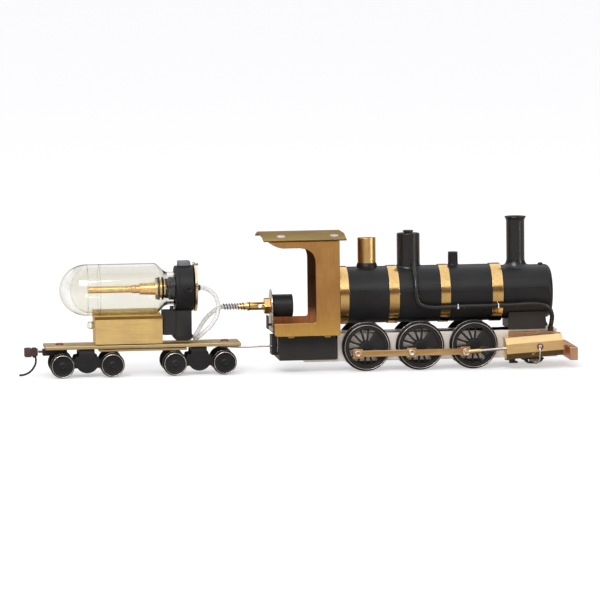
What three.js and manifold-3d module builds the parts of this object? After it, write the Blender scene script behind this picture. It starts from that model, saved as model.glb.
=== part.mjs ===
// A hand-built live-steam locomotive with a flat tender that carries its glass fuel bottle.
// Millimetres. +X is the locomotive's front, -Y its near side, +Z up. The wheel flanges stand on Z = 0.
import * as THREE from "three";
import { mergeVertices } from "three/addons/utils/BufferGeometryUtils.js";
import Module from "manifold-3d";

const wasm = await Module();
wasm.setup();

// ---------------------------------------------------------------- driving dimensions

const railGap = { wheelBack: 7.2, flangeSide: 8.0, wheelFace: 10.0 }; // distances from the centre line

const driver = {
  firstX: 26.6,
  spacing: 21.4,
  flangeR: 9.65,
  treadR: 8.85,
  rimInnerR: 7.1,
  hubR: 2.5,
  spokes: 14,
  spokeWidth: 0.75,
  axleR: 1.5,
  axleHoleR: 1.62,
  crankR: 4.5,
  pinR: 0.8,
};
const crankAngle = { near: 212, far: 302 }; // degrees from +X towards +Z, a quarter turn apart

const sideRod = { inner: 10.6, outer: 11.7, height: 2.5, boss: 3.8, holeR: 0.92 };

const cylinder = {
  pivotX: 94.5,
  pivotZ: 9.1,
  rear: -13.4,
  front: 9.3,
  inner: 8.6,
  outer: 17.2,
  halfHeight: 4.3,
  faceHalfHeight: 1.9,
  chamfer: 2.5,
  axisY: 13.1,
  boreR: 2.6,
  rodR: 0.6,
  trunnionR: 1.0,
  rearWall: 2.2,
  frontWall: 1.5,
};
const rod = { piston: 3, toPiston: 19.7, sleeveR: 0.95, sleeveEnd: 6, bigEndR: 1.5, bigEndHalf: 0.85 };

const frame = {
  rear: 15.4,
  front: 103,
  bottom: 3.9,
  top: 14.95,
  half: 6.2,
  plate: 1.5,
  tongueRear: 2.3,
  tongueTop: 4.7,
};

const boiler = { rear: 16.1, front: 81.0, r: 11.2, wall: 0.8, z: 29.6, bushR: 1.2 };
const flue = { r: 4.6, wall: 0.6, z: 26.0 };
const band = { inner: 11.3, outer: 11.55 };
const bandX = { rear: [16.1, 19.7], first: [35.7, 39.7], second: [56.2, 60.0], third: [76.7, 81.0] };
const smokebox = { rear: 81.3, front: 101.2, r: 10.6, wall: 0.8, noseR: 2.2 };
const chimney = { x: 87.6, r: 3.6, boreR: 2.7, top: 59.5, lipR: 4.25, footR: 5.2 };
const dome = { x: 44.7, r: 4.55, top: 53.7, capR: 2.1, capTop: 54.8, footR: 4.85 };
const stack = { x: 28.1, r: 3.6, boreR: 2.8, bottom: 42.3, top: 52.2, footR: 4.1 };
const whistle = { x: 62.5, r: 1.75, top: 45.9 };
const steamPipe = { r: 0.9, y: 12.3, z: 25.2, dropX: 46, downX: 100.3, lowEnd: 15.3 };
const saddle = { rear: 83.4, front: 98.3, half: 8, bottom: 15.25, top: 23.5 };

const cab = {
  half: 15,
  sheet: 0.8,
  rear: -10.4,
  front: 15.6,
  columnX: 6.1,
  bottom: 15.1,
  sillTop: 20.2,
  lintel: 49.8,
  top: 52.4,
  lintelRear: -12.6,
};
const roof = { rear: -14.5, front: 18.3, eaveY: 15.8, eaveZ: 53.2, foldY: 7.5, topZ: 54.9 };
const firebox = { rear: -8.1, front: 14.75, half: 9.5, bottom: 5.0, top: 14.8, wall: 0.8, corner: 1.6 };
const bracket = {
  rear: -10.4,
  front: -8.4,
  half: 4,
  bottom: 6.8,
  top: 14.5,
  slotLow: 9.3,
  slotHigh: 10.7,
};
const hitchX = -9.4; // the upright pin the tender swings on
const burner = { z: 26.0, r: 4.45, rear: -9.8, front: -1.75, bottomDepth: 3, wall: 0.7 };
const burnerPlateSize = { rear: -10.4, front: -10.1, half: 6.6, bottom: 16.3 };
const jet = {
  tip: -23.6,
  tipR: 0.85,
  coneEnd: -19.6,
  nutRear: -12.9,
  nutFront: -10.7,
  tubeR: 1.6,
  nutAcross: 6.9,
  airR: 0.85,
};
const hoseSpring = { rear: -29.2, front: -23.9, r: 1.25, boreR: 0.95 };
const beam = { rear: 106.8, front: 110, half: 15, bottom: 3.2, top: 8.3, tongueRear: 103.3, tongueHalf: 4 };
const portBlock = { rear: 83.5, front: 102.2, inner: 6.5, outer: 8.3, bottom: 4.6, top: 14.2 };

const deck = { rear: -100, front: -22.9, half: 7.5, bottom: 11.1, top: 12.45, padTop: 13.3, padHalf: 2 };
const stiffener = { rear: -78.8, front: -44.3, half: 6.8, bottom: 9.95, top: 10.8 };
const tank = { rear: -80.3, front: -53.8, half: 7.3, bottom: 12.75, top: 23.9, wall: 0.8 };
const bottle = {
  z: 33.8,
  r: 10.1,
  wall: 1.1,
  rear: -93.7,
  domeFront: -83.1,
  shoulder: -56.6,
  neckR: 5.8,
  neckRear: -51.2,
  neckFront: -47.2,
};
const dip = {
  rear: -83,
  r: 1.35,
  collarRear: -65.4,
  collarR: 1.65,
  coneRear: -62.2,
  coneR: 2.5,
  plugRear: -55.6,
  plugR: 4.4,
  front: -47,
};
const clamp = {
  rear: -48.3,
  step: -46.7,
  front: -41.2,
  flangeR: 8.9,
  r: 9.1,
  boreR: 6.1,
  boreEnd: -46.6,
  bossHalf: 2.6,
  bossTop: 44.6,
};
const valve = { rear: -40.9, front: -39.8, r: 9.2, hubR: 1.15, hubFront: -38.3 };
const column = { rear: -48.9, front: -42.0, half: 4, bottom: 13.6, top: 27.2 };
const columnBlock = { rear: -53.3, half: 5, bottom: 15.8, top: 25.1 };
const hoseR = 0.875;
const drumSides = 28; // facets round the boiler, its bands and the smokebox

const truck = {
  rearX: -83.6,
  frontX: -39.4,
  wheelbase: 19.6,
  flangeR: 4.85,
  treadR: 4.3,
  axleR: 0.75,
  holeR: 0.87,
};
const truckFrame = { inner: 5.4, outer: 6.6, barHalf: 6.8, barBottom: 9.0, barTop: 9.65, bolsterTop: 10.8 };
const shield = { half: 4.7, shoulderZ: 6.3 };
const pocket = { rear: -100.7, front: -91.2, half: 3, bottom: 8.5, top: 10.8, slotHalf: 2.4 };
const coupler = { pinX: -93.9, z: 9.9, headBottom: 7.8, headHeight: 3.7, tripR: 0.32 };
const pivotPinR = 0.45; // the hitch pin and the coupler's pin

// ---------------------------------------------------------------- materials

const paint = (color, roughness, metalness, extra = {}) =>
  new THREE.MeshStandardMaterial({ color, roughness, metalness, ...extra });
const materials = {
  blackPaint: paint(0x242426, 0.55, 0.2),
  blackPlastic: paint(0x1c1d1e, 0.6, 0.0),
  brass: paint(0xc59a4a, 0.35, 0.9),
  polishedBrass: paint(0xe6c878, 0.22, 1.0),
  copper: paint(0xa0653f, 0.5, 0.7),
  aluminium: paint(0xc9c8c4, 0.45, 0.8),
  steel: paint(0xb9bbbd, 0.3, 1.0),
  glass: paint(0xf2efd8, 0.05, 0.0, { transparent: true, opacity: 0.35 }),
  silicone: paint(0xeeece6, 0.4, 0.0),
};

// ---------------------------------------------------------------- shape helpers

// A closed geometry as a manifold solid: only its merged positions are kept.
function solidOf(geometry) {
  const bare = geometry.clone();
  bare.deleteAttribute("normal");
  bare.deleteAttribute("uv");
  const merged = mergeVertices(bare, 1e-4);
  return new wasm.Manifold(
    new wasm.Mesh({
      numProp: 3,
      vertProperties: new Float32Array(merged.attributes.position.array),
      triVerts: new Uint32Array(merged.index.array),
    }),
  );
}

function geometryOf(solid) {
  const mesh = solid.getMesh();
  const geometry = new THREE.BufferGeometry();
  geometry.setAttribute("position", new THREE.BufferAttribute(mesh.vertProperties, 3));
  geometry.setIndex(new THREE.BufferAttribute(mesh.triVerts, 1));
  geometry.computeVertexNormals();
  return geometry;
}

const join = (first, ...others) =>
  geometryOf(others.reduce((sum, piece) => sum.add(solidOf(piece)), solidOf(first)));

const cut = (body, ...tools) =>
  geometryOf(tools.reduce((rest, tool) => rest.subtract(solidOf(tool)), solidOf(body)));

// A box between two corners.
function block([x0, y0, z0], [x1, y1, z1]) {
  const geometry = new THREE.BoxGeometry(x1 - x0, y1 - y0, z1 - z0);
  return geometry.translate((x0 + x1) / 2, (y0 + y1) / 2, (z0 + z1) / 2);
}

// Turns a geometry whose axis is Y so that the axis lies along the named one.
function alongAxis(geometry, axis) {
  if (axis === "x") geometry.rotateZ(-Math.PI / 2);
  if (axis === "z") geometry.rotateX(Math.PI / 2);
  return geometry;
}

// A turned piece: [radius, distance along the axis] pairs, listed so that the distance rises along
// the outside of the piece.
function turned(axis, profile, centre = [0, 0, 0], segments = 24) {
  const points = profile.map(([radius, along]) => new THREE.Vector2(radius, along));
  return alongAxis(new THREE.LatheGeometry(points, segments), axis).translate(...centre);
}

// A round bar along an axis, from one distance to another.
const bar = (axis, radius, from, to, centre = [0, 0, 0], segments = 16) =>
  turned(axis, [[0, from], [radius, from], [radius, to], [0, to]], centre, segments);

// A ring along an axis, with a bore.
const ring = (axis, bore, radius, from, to, centre = [0, 0, 0], segments = 24) =>
  turned(axis, [[bore, from], [radius, from], [radius, to], [bore, to], [bore, from]], centre, segments);

// A flat outline in X and Z, made as thick as the stretch of Y given.
function sheetXZ(shape, from, to, curveSegments = 6) {
  const options = { depth: to - from, bevelEnabled: false, curveSegments };
  const geometry = new THREE.ExtrudeGeometry(shape, options);
  return geometry.rotateX(Math.PI / 2).translate(0, to, 0);
}

// An outline in Y and Z, made as long as the stretch of X given.
function barYZ(shape, from, to, curveSegments = 6) {
  const options = { depth: to - from, bevelEnabled: false, curveSegments };
  const geometry = new THREE.ExtrudeGeometry(shape, options);
  return geometry.rotateX(Math.PI / 2).rotateZ(Math.PI / 2).translate(from, 0, 0);
}

// A round wire or tube along a smooth curve through points.
function wire(points, radius, steps, sides = 8) {
  const places = points.map((point) => new THREE.Vector3(...point));
  const path = new THREE.CatmullRomCurve3(places, false, "centripetal");
  const section = new THREE.Shape();
  for (let i = 0; i < sides; i++) {
    const turn = (2 * Math.PI * i) / sides;
    const [x, y] = [radius * Math.cos(turn), radius * Math.sin(turn)];
    if (i === 0) section.moveTo(x, y);
    else section.lineTo(x, y);
  }
  return new THREE.ExtrudeGeometry(section, { extrudePath: path, steps, bevelEnabled: false });
}

function named(name, geometry, material) {
  const mesh = new THREE.Mesh(geometry, material);
  mesh.name = name;
  return mesh;
}

function groupAt(x, y, z, ...children) {
  const group = new THREE.Group();
  group.position.set(x, y, z);
  group.add(...children);
  return group;
}

// A piece drawn for the near side stands on the far side when its Y is turned round.
function onSide(mesh, side) {
  if (side === "far") mesh.scale.y = -1;
  return mesh;
}

const radians = THREE.MathUtils.degToRad;
const sides = ["near", "far"];

// ---------------------------------------------------------------- driving wheels

const axleX = [0, 1, 2].map((i) => driver.firstX + i * driver.spacing);
const axleZ = driver.flangeR;
const webFace = { back: -8.2, front: -9.4 };
const crankBoss = { r: 1.6, front: -10.3 };
const pinHead = { r: 1.35, back: -11.8, front: -12.5 };
const axleEnd = 9.5;
const plainPinEnd = -12.0; // the front pins stop short of the big ends
const balanceHalfAngle = 50; // degrees of solid web each way from the balance weight's middle
const crankOffset = (side) => {
  const turn = radians(crankAngle[side]);
  return [driver.crankR * Math.cos(turn), driver.crankR * Math.sin(turn)];
};

// The windows between two spokes: an arc at the rim and a narrow end at the hub.
function spokeWindow(turn) {
  const halfPitch = Math.PI / driver.spokes;
  const inner = driver.hubR + 0.4;
  const outer = driver.rimInnerR - 0.3;
  const gapAt = (r) => halfPitch - Math.asin(driver.spokeWidth / 2 / r);
  const corners = [[inner, -1], [outer, -1], [outer, 1], [inner, 1]];
  return new THREE.Path(
    corners.map(([r, side]) => {
      const at = turn + side * gapAt(r);
      return new THREE.Vector2(r * Math.cos(at), r * Math.sin(at));
    }),
  );
}

// A driver for the near side, about its own axle: tyre and flange, spoked web, balance weight
// one spoke short of opposite the crank, hub, crank boss and crank pin.
function driverGeometry(side, withPinHead) {
  const { wheelBack, flangeSide, wheelFace } = railGap;
  const tyre = turned(
    "y",
    [
      [driver.rimInnerR, -wheelFace],
      [driver.treadR, -wheelFace],
      [driver.treadR, -flangeSide],
      [driver.flangeR, -wheelBack],
      [driver.rimInnerR, -wheelBack],
      [driver.rimInnerR, -wheelFace],
    ],
    [0, 0, 0],
    26,
  );
  const web = new THREE.Shape().absarc(0, 0, driver.rimInnerR + 0.3, 0, 2 * Math.PI);
  const balance = radians(crankAngle[side] + 180 - 360 / driver.spokes);
  for (let i = 0; i < driver.spokes; i++) {
    const turn = radians(crankAngle[side]) + (2 * Math.PI * (i + 0.5)) / driver.spokes;
    const fromBalance = Math.abs(Math.atan2(Math.sin(turn - balance), Math.cos(turn - balance)));
    if (fromBalance > radians(balanceHalfAngle)) web.holes.push(spokeWindow(turn));
  }
  const [pinX, pinZ] = crankOffset(side);
  const pinAt = [pinX, 0, pinZ];
  const pinEnd = withPinHead ? pinHead.front : plainPinEnd;
  const pieces = [
    sheetXZ(web, webFace.front, webFace.back, 10),
    bar("y", driver.hubR, webFace.front - 0.5, -wheelBack, [0, 0, 0], 12),
    bar("y", crankBoss.r, crankBoss.front, webFace.back, pinAt, 10),
    bar("y", driver.pinR, pinEnd, crankBoss.front + 0.3, pinAt, 8),
  ];
  if (withPinHead) pieces.push(bar("y", pinHead.r, pinHead.front, pinHead.back, pinAt, 8));
  const axleSocket = bar("y", driver.axleR + 0.08, -axleEnd - 0.1, -wheelBack + 1, [0, 0, 0], 12);
  return cut(join(tyre, ...pieces), axleSocket);
}

function driverAxle(index, name) {
  const withPinHead = index < 2;
  const axleBar = bar("y", driver.axleR, -axleEnd, axleEnd, [0, 0, 0], 12);
  const axle = named(`${name}_axle`, axleBar, materials.steel);
  const wheels = sides.map((side) => {
    const wheel = named(`${name}_driver_${side}`, driverGeometry(side, withPinHead), materials.blackPaint);
    return onSide(wheel, side);
  });
  return groupAt(axleX[index], 0, axleZ, axle, ...wheels);
}

// ---------------------------------------------------------------- rods and cylinders

// A coupling rod for the near side, drawn from its front crank pin.
function sideRodGeometry() {
  const { inner, outer, height, boss, holeR } = sideRod;
  const length = 2 * driver.spacing;
  const blade = block([-length, -outer, -height / 2], [0, -inner, height / 2]);
  const pinPlaces = [0, 1, 2].map((i) => -i * driver.spacing);
  const bosses = pinPlaces.map((x) =>
    block([x - boss / 2, -outer, -boss / 2], [x + boss / 2, -inner, boss / 2]),
  );
  const holes = pinPlaces.map((x) => bar("y", holeR, -outer - 1, -inner + 1, [x, 0, 0], 10));
  return cut(join(blade, ...bosses), ...holes);
}

// The near cylinder about its trunnion: a brass bar with its outer edges planed off, bored for the
// piston, with a trunnion pin on its flat inner face.
function cylinderGeometry() {
  const { rear, front, inner, outer, halfHeight, faceHalfHeight, chamfer } = cylinder;
  const { axisY, boreR, rodR, rearWall, frontWall, trunnionR } = cylinder;
  const section = new THREE.Shape();
  section.moveTo(-inner, -halfHeight);
  section.lineTo(-inner, halfHeight);
  section.lineTo(-outer + chamfer, halfHeight);
  section.lineTo(-outer, faceHalfHeight);
  section.lineTo(-outer, -faceHalfHeight);
  section.lineTo(-outer + chamfer, -halfHeight);
  const body = barYZ(section, rear, front);
  const trunnion = bar("y", trunnionR, -inner - 1, -portBlock.inner - 0.1, [0, 0, 0], 14);
  return cut(
    join(body, trunnion),
    bar("x", boreR, rear + rearWall, front - frontWall, [0, -axisY, 0], 16),
    bar("x", rodR + 0.08, rear - 1, rear + rearWall + 1, [0, -axisY, 0], 10),
  );
}

// The distance from a cylinder's trunnion to its crank pin, and the slope of that line.
function linkOf(side) {
  const [dx, dz] = crankOffset(side);
  const alongX = cylinder.pivotX - (axleX[2] + dx);
  const alongZ = cylinder.pivotZ - (axleZ + dz);
  return { length: Math.hypot(alongX, alongZ), tilt: Math.atan2(alongZ, alongX) };
}

// The piston rod in line with its cylinder: big end, brass sleeve, rod and piston.
function pistonRodGeometry(side) {
  const bigEnd = -linkOf(side).length;
  const y = -cylinder.axisY;
  const pistonRear = bigEnd + rod.toPiston;
  return join(
    bar("x", cylinder.rodR, bigEnd, pistonRear + 0.5, [0, y, 0], 10),
    bar("x", rod.sleeveR, bigEnd + 0.8, bigEnd + rod.sleeveEnd, [0, y, 0], 12),
    bar("y", rod.bigEndR, y - rod.bigEndHalf, y + rod.bigEndHalf, [bigEnd, 0, 0], 14),
    bar("x", cylinder.boreR - 0.1, pistonRear, pistonRear + rod.piston, [0, y, 0], 16),
  );
}

function cylinderGroup(side) {
  const group = groupAt(
    cylinder.pivotX,
    0,
    cylinder.pivotZ,
    onSide(named(`cylinder_${side}`, cylinderGeometry(), materials.brass), side),
    onSide(named(`piston_rod_${side}`, pistonRodGeometry(side), materials.steel), side),
  );
  group.rotation.y = -linkOf(side).tilt;
  return group;
}

// ---------------------------------------------------------------- locomotive frame

function mainFrame() {
  const { rear, front, bottom, top, half, plate, tongueRear, tongueTop } = frame;
  const plates = [-1, 1].map((s) => {
    const [y0, y1] = s < 0 ? [-half, -half + plate] : [half - plate, half];
    return block([rear, y0, bottom], [front, y1, top]);
  });
  const crossBars = [
    [rear, rear + 3.1],
    [35.5, 39.5],
    [57, 61],
    [74, 78],
    [86, front],
  ].map(([x0, x1]) => block([x0, -half, bottom], [x1, half, top]));
  const tongue = block([tongueRear, -half, bottom], [rear + 1, half, tongueTop]);
  const axleHoles = axleX.map((x) => bar("y", driver.axleHoleR, -half - 1, half + 1, [x, 0, axleZ], 12));
  return cut(join(plates[0], plates[1], ...crossBars, tongue), ...axleHoles);
}

function smokeboxSaddle() {
  const { rear, front, half, bottom, top } = saddle;
  const body = block([rear, -half, bottom], [front, half, top]);
  return cut(body, bar("x", smokebox.r + 0.3, rear - 1, front + 1, [0, 0, boiler.z], drumSides));
}

function portBlockGeometry() {
  const { rear, front, inner, outer, bottom, top } = portBlock;
  const body = block([rear, -outer, bottom], [front, -inner, top]);
  const trunnionAt = [cylinder.pivotX, 0, cylinder.pivotZ];
  const trunnionHole = bar("y", cylinder.trunnionR + 0.1, -outer - 1, -inner + 1, trunnionAt);
  return cut(body, trunnionHole);
}

function bufferBeam() {
  const { rear, front, half, bottom, top, tongueRear, tongueHalf } = beam;
  const crossBar = block([rear, -half, bottom], [front, half, top]);
  return join(crossBar, block([tongueRear, -tongueHalf, bottom + 1], [rear + 0.5, tongueHalf, top]));
}

// ---------------------------------------------------------------- boiler

// A shell with end plates and a flue, whose water space opens through the bushes for the fittings.
function boilerShell() {
  const { rear, front, r, wall, z, bushR } = boiler;
  const shell = cut(
    bar("x", r, rear, front, [0, 0, z], drumSides),
    bar("x", r - wall, rear + wall, front - wall, [0, 0, z], drumSides),
  );
  const flueTube = bar("x", flue.r + flue.wall, rear + 0.2, front - 0.2, [0, 0, flue.z], 20);
  const flueBore = bar("x", flue.r, rear - 1, front + 1, [0, 0, flue.z], 20);
  const bushes = [stack.x, dome.x, whistle.x].map((x) =>
    bar("z", bushR, z + r - 2, z + r + 1, [x, 0, 0], 12),
  );
  return cut(join(shell, flueTube), flueBore, ...bushes);
}

const boilerBand = ([from, to]) =>
  ring("x", band.inner, band.outer, from, to, [0, 0, boiler.z], drumSides);

// A drum closed by a rounded nose, open towards the boiler, with a hole below the chimney.
function smokeboxShell() {
  const { rear, front, r, wall, noseR } = smokebox;
  const nose = [];
  const noseSteps = 3;
  for (let i = 0; i <= noseSteps; i++) {
    const turn = (Math.PI / 2) * (i / noseSteps);
    nose.push([r - noseR + noseR * Math.cos(turn), front - noseR + noseR * Math.sin(turn)]);
  }
  const inner = r - wall;
  const outside = [[inner, rear], [r, rear], ...nose, [0, front + 0.4]];
  const inside = [[0, front - wall], [inner, front - wall - 1.2], [inner, rear]];
  const profile = [...outside, ...inside];
  const shell = turned("x", profile, [0, 0, boiler.z], drumSides);
  return cut(shell, bar("z", chimney.boreR, boiler.z, boiler.z + r + 2, [chimney.x, 0, 0], 20));
}

// A fitting turned about an upright axis whose foot is shaped to the drum it stands on.
function standingFitting(profile, x, drumR, segments = 20) {
  const upright = turned("z", profile, [x, 0, 0], segments);
  return cut(upright, bar("x", drumR + 0.12, x - 8, x + 8, [0, 0, boiler.z], drumSides));
}

function chimneyGeometry() {
  const { x, r, boreR, top, lipR, footR } = chimney;
  const drumTop = boiler.z + smokebox.r;
  const profile = [
    [boreR, drumTop - 1],
    [footR, drumTop - 1],
    [footR - 0.5, drumTop + 0.6],
    [r + 0.3, drumTop + 1.6],
    [r, drumTop + 2.8],
    [r, top - 1.8],
    [lipR, top - 0.3],
    [lipR, top],
    [boreR, top],
    [boreR, drumTop - 1],
  ];
  return standingFitting(profile, x, smokebox.r);
}

function domeGeometry() {
  const { x, r, top, capR, capTop, footR } = dome;
  const drumTop = boiler.z + boiler.r;
  const profile = [
    [0, drumTop - 1.5],
    [footR, drumTop - 1.5],
    [footR, drumTop + 0.4],
    [r, drumTop + 1.4],
    [r, top - 0.3],
    [r - 0.3, top],
    [capR, top],
    [capR, capTop],
    [0, capTop],
  ];
  return standingFitting(profile, x, boiler.r);
}

function safetyStack() {
  const { x, r, boreR, bottom, top, footR } = stack;
  const drumTop = boiler.z + boiler.r;
  const profile = [
    [0, drumTop - 1.2],
    [footR, drumTop - 1.2],
    [footR, drumTop + 0.8],
    [r, bottom],
    [r, top],
    [boreR, top],
    [boreR, bottom],
    [0, bottom],
  ];
  return standingFitting(profile, x, boiler.r);
}

function whistleStub() {
  const { x, r, top } = whistle;
  const drumTop = boiler.z + boiler.r;
  const profile = [
    [0, drumTop - 0.6],
    [r + 0.5, drumTop - 0.6],
    [r, drumTop + 1],
    [r, top - 0.3],
    [r - 0.3, top],
    [0, top],
  ];
  return standingFitting(profile, x, boiler.r, 12);
}

// The near steam pipe: down round the boiler from the dome, forward, and down to the port block.
function steamPipeGeometry() {
  const { r, y, z, dropX, downX, lowEnd } = steamPipe;
  const reach = boiler.r + r + 0.65;
  const roundBoiler = [28, 47, 66, 85].map(radians).map((turn) => [
    dropX,
    -reach * Math.sin(turn),
    boiler.z + reach * Math.cos(turn),
  ]);
  return wire(
    [
      ...roundBoiler,
      [dropX + 1.2, -12.8, z + 1.6],
      [dropX + 4.6, -y, z],
      [dropX + 20, -y, z],
      [downX - 20, -y, z],
      [downX - 4.6, -y, z],
      [downX - 1.2, -11.7, z - 1.6],
      [downX, -11, z - 4.6],
      [downX, -10.2, 18.6],
      [downX, -8.4, 16.7],
      [downX, -7.4, lowEnd],
    ],
    r,
    24,
    7,
  );
}

// ---------------------------------------------------------------- cab and burner

// A C-shaped side sheet: a column in front, a lintel with a swept end, and a sill with round corners.
function cabSide() {
  const { half, sheet, rear, front, columnX, bottom, sillTop, lintel, top, lintelRear } = cab;
  const corner = 1.1;
  const sweep = 6.3; // the curved corner under the lintel
  const outline = new THREE.Shape();
  outline.moveTo(front, bottom + corner);
  outline.lineTo(front, top);
  outline.lineTo(lintelRear, top);
  outline.quadraticCurveTo(lintelRear + 3, lintel + 0.2, lintelRear + 6, lintel);
  outline.lineTo(columnX - sweep, lintel);
  outline.quadraticCurveTo(columnX, lintel - 0.6, columnX, lintel - sweep);
  outline.lineTo(columnX, sillTop + corner);
  outline.quadraticCurveTo(columnX, sillTop, columnX - corner, sillTop);
  outline.lineTo(rear + corner / 2, sillTop);
  outline.quadraticCurveTo(rear, sillTop, rear, sillTop - corner / 2);
  outline.lineTo(rear, bottom + corner);
  outline.quadraticCurveTo(rear, bottom, rear + corner, bottom);
  outline.lineTo(front - corner, bottom);
  outline.quadraticCurveTo(front, bottom, front, bottom + corner);
  return sheetXZ(outline, -half, -half + sheet, 5);
}

// The front sheet, with the burner's hole, folded back at its foot to make the floor.
function cabFront() {
  const inside = cab.half - cab.sheet - 0.3;
  const { rear, front, bottom, top, sheet } = cab;
  const upright = block([front - sheet, -inside, bottom], [front, inside, top - 0.4]);
  const floor = block([rear + 0.8, -inside, bottom], [front, inside, bottom + sheet]);
  const burnerHole = bar("x", flue.r + 0.4, front - 3, front + 3, [0, 0, flue.z], 20);
  return cut(join(upright, floor), burnerHole);
}

function cabRoof() {
  const { rear, front, eaveY, eaveZ, foldY, topZ } = roof;
  const thickness = cab.sheet;
  const outer = [
    [-eaveY, eaveZ],
    [-foldY, topZ],
    [foldY, topZ],
    [eaveY, eaveZ],
  ];
  const inner = [
    [eaveY - 0.3, eaveZ - thickness * 0.9],
    [foldY - 0.2, topZ - thickness],
    [-foldY + 0.2, topZ - thickness],
    [-eaveY + 0.3, eaveZ - thickness * 0.9],
  ];
  const section = new THREE.Shape([...outer, ...inner].map(([y, z]) => new THREE.Vector2(y, z)));
  return barYZ(section, rear, front);
}

function fireboxCase() {
  const { rear, front, half, bottom, top, wall, corner } = firebox;
  const outline = new THREE.Shape();
  outline.moveTo(rear, bottom);
  outline.lineTo(front, bottom);
  outline.lineTo(front, top - corner);
  outline.lineTo(front - corner, top);
  outline.lineTo(rear, top);
  const roofZ = top - wall - 1;
  const inside = block([rear + wall, -half + wall, bottom - 1], [front - wall, half - wall, roofZ]);
  return cut(sheetXZ(outline, -half, half), inside);
}

// A clevis for the drawbar: a block with a level slot and an upright pin across it.
function drawbarBracket() {
  const { rear, front, half, bottom, top, slotLow, slotHigh } = bracket;
  const body = block([rear, -half, bottom], [front, half, top]);
  const slot = block([rear - 1, -half + 0.8, slotLow], [front + 1, half - 0.8, slotHigh]);
  const pin = bar("z", pivotPinR, slotLow - 0.5, slotHigh + 0.5, [hitchX, 0, 0], 10);
  return join(cut(body, slot), pin);
}

function burnerPlate() {
  const { rear, front, half, bottom } = burnerPlateSize;
  const outline = new THREE.Shape();
  outline.moveTo(-half, bottom);
  outline.lineTo(half, bottom);
  outline.lineTo(half, burner.z);
  outline.absarc(0, burner.z, half, 0, Math.PI);
  outline.lineTo(-half, bottom);
  return barYZ(outline, rear, front, 12);
}

// A cup with its mouth to the flue.
function burnerBody() {
  const { z, r, rear, front, bottomDepth, wall } = burner;
  const profile = [
    [0, rear],
    [r - 0.3, rear],
    [r, rear + 0.3],
    [r, front],
    [r - wall, front],
    [r - wall, rear + bottomDepth],
    [0, rear + bottomDepth],
  ];
  return turned("x", profile, [0, 0, z], 18);
}

// The hose tail, mixing tube and hexagon nut, turned from one bar, with a cross hole for air.
function gasJet() {
  const { tip, tipR, coneEnd, nutRear, nutFront, tubeR, nutAcross, airR } = jet;
  const stem = turned(
    "x",
    [
      [0, tip],
      [tipR, tip],
      [tubeR - 0.15, coneEnd],
      [tubeR + 0.15, coneEnd],
      [tubeR + 0.15, coneEnd + 0.6],
      [tubeR, coneEnd + 0.6],
      [tubeR, nutRear + 0.5],
      [0, nutRear + 0.5],
    ],
    [0, 0, burner.z],
    14,
  );
  const nut = bar("x", nutAcross / 2, nutRear, nutFront, [0, 0, burner.z], 6);
  const airHole = bar("y", airR, -3, 3, [nutRear - 1.6, 0, burner.z], 10);
  return cut(join(stem, nut), airHole);
}

function hoseSpringGeometry() {
  const { boreR, r, rear, front } = hoseSpring;
  return ring("x", boreR, r, rear, front, [0, 0, burner.z], 14);
}

// ---------------------------------------------------------------- tender body

function deckStrip() {
  const { rear, front, half, bottom, top, padTop, padHalf } = deck;
  const strip = block([rear, -half, bottom], [front, half, top]);
  const pad = block([column.rear + 1, -padHalf, top - 0.5], [column.front - 1, padHalf, padTop]);
  return join(strip, pad);
}

function stiffenerPlate() {
  const { rear, front, half, bottom, top } = stiffener;
  return block([rear, -half, bottom], [front, half, top]);
}

// An open-bottomed box whose top is hollowed a little to cradle the bottle.
function tankBox() {
  const { rear, front, half, bottom, top, wall } = tank;
  const body = block([rear, -half, bottom], [front, half, top]);
  const roofZ = top - wall - 0.5;
  const inside = block([rear + wall, -half + wall, bottom - 1], [front - wall, half - wall, roofZ]);
  const cradle = bar("x", bottle.r + 0.2, rear - 1, front + 1, [0, 0, bottle.z], drumSides);
  return cut(body, inside, cradle);
}

// A bottle wall as a profile: outside from the domed end to the mouth, then back along the inside.
function glassBottle() {
  const { z, r, wall, rear, domeFront, shoulder, neckR, neckRear, neckFront } = bottle;
  const domedEnd = (radius, start, steps) => {
    const points = [];
    for (let i = 0; i <= steps; i++) {
      const turn = (Math.PI / 2) * (i / steps);
      points.push([radius * Math.sin(turn), start + (domeFront - start) * (1 - Math.cos(turn))]);
    }
    return points;
  };
  const shoulderCurve = (radius, neck) =>
    [0.3, 0.7, 1].map((t) => {
      const ease = t * t * (3 - 2 * t);
      return [radius + (neck - radius) * ease, shoulder + (neckRear - shoulder) * t];
    });
  const surface = (radius, neck, start, steps) => [
    ...domedEnd(radius, start, steps),
    [radius, shoulder],
    ...shoulderCurve(radius, neck),
    [neck, neckFront],
  ];
  const outside = surface(r, neckR, rear, 5);
  const inside = surface(r - wall, neckR - wall, rear + wall, 4).reverse();
  return turned("x", [...outside, ...inside], [0, 0, z], 20);
}

// The dip tube, its collar and cone, and the sealing plug in the bottle's neck.
function dipTube() {
  const { rear, r, collarRear, collarR, coneRear, coneR, plugRear, plugR, front } = dip;
  const profile = [
    [0, rear],
    [r, rear],
    [r, collarRear],
    [collarR, collarRear],
    [collarR, coneRear],
    [coneR - 0.3, coneRear],
    [coneR, plugRear - 0.4],
    [plugR - 0.4, plugRear],
    [plugR, plugRear + 3.4],
    [plugR, front],
    [0, front],
  ];
  return turned("x", profile, [0, 0, bottle.z], 12);
}

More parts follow.
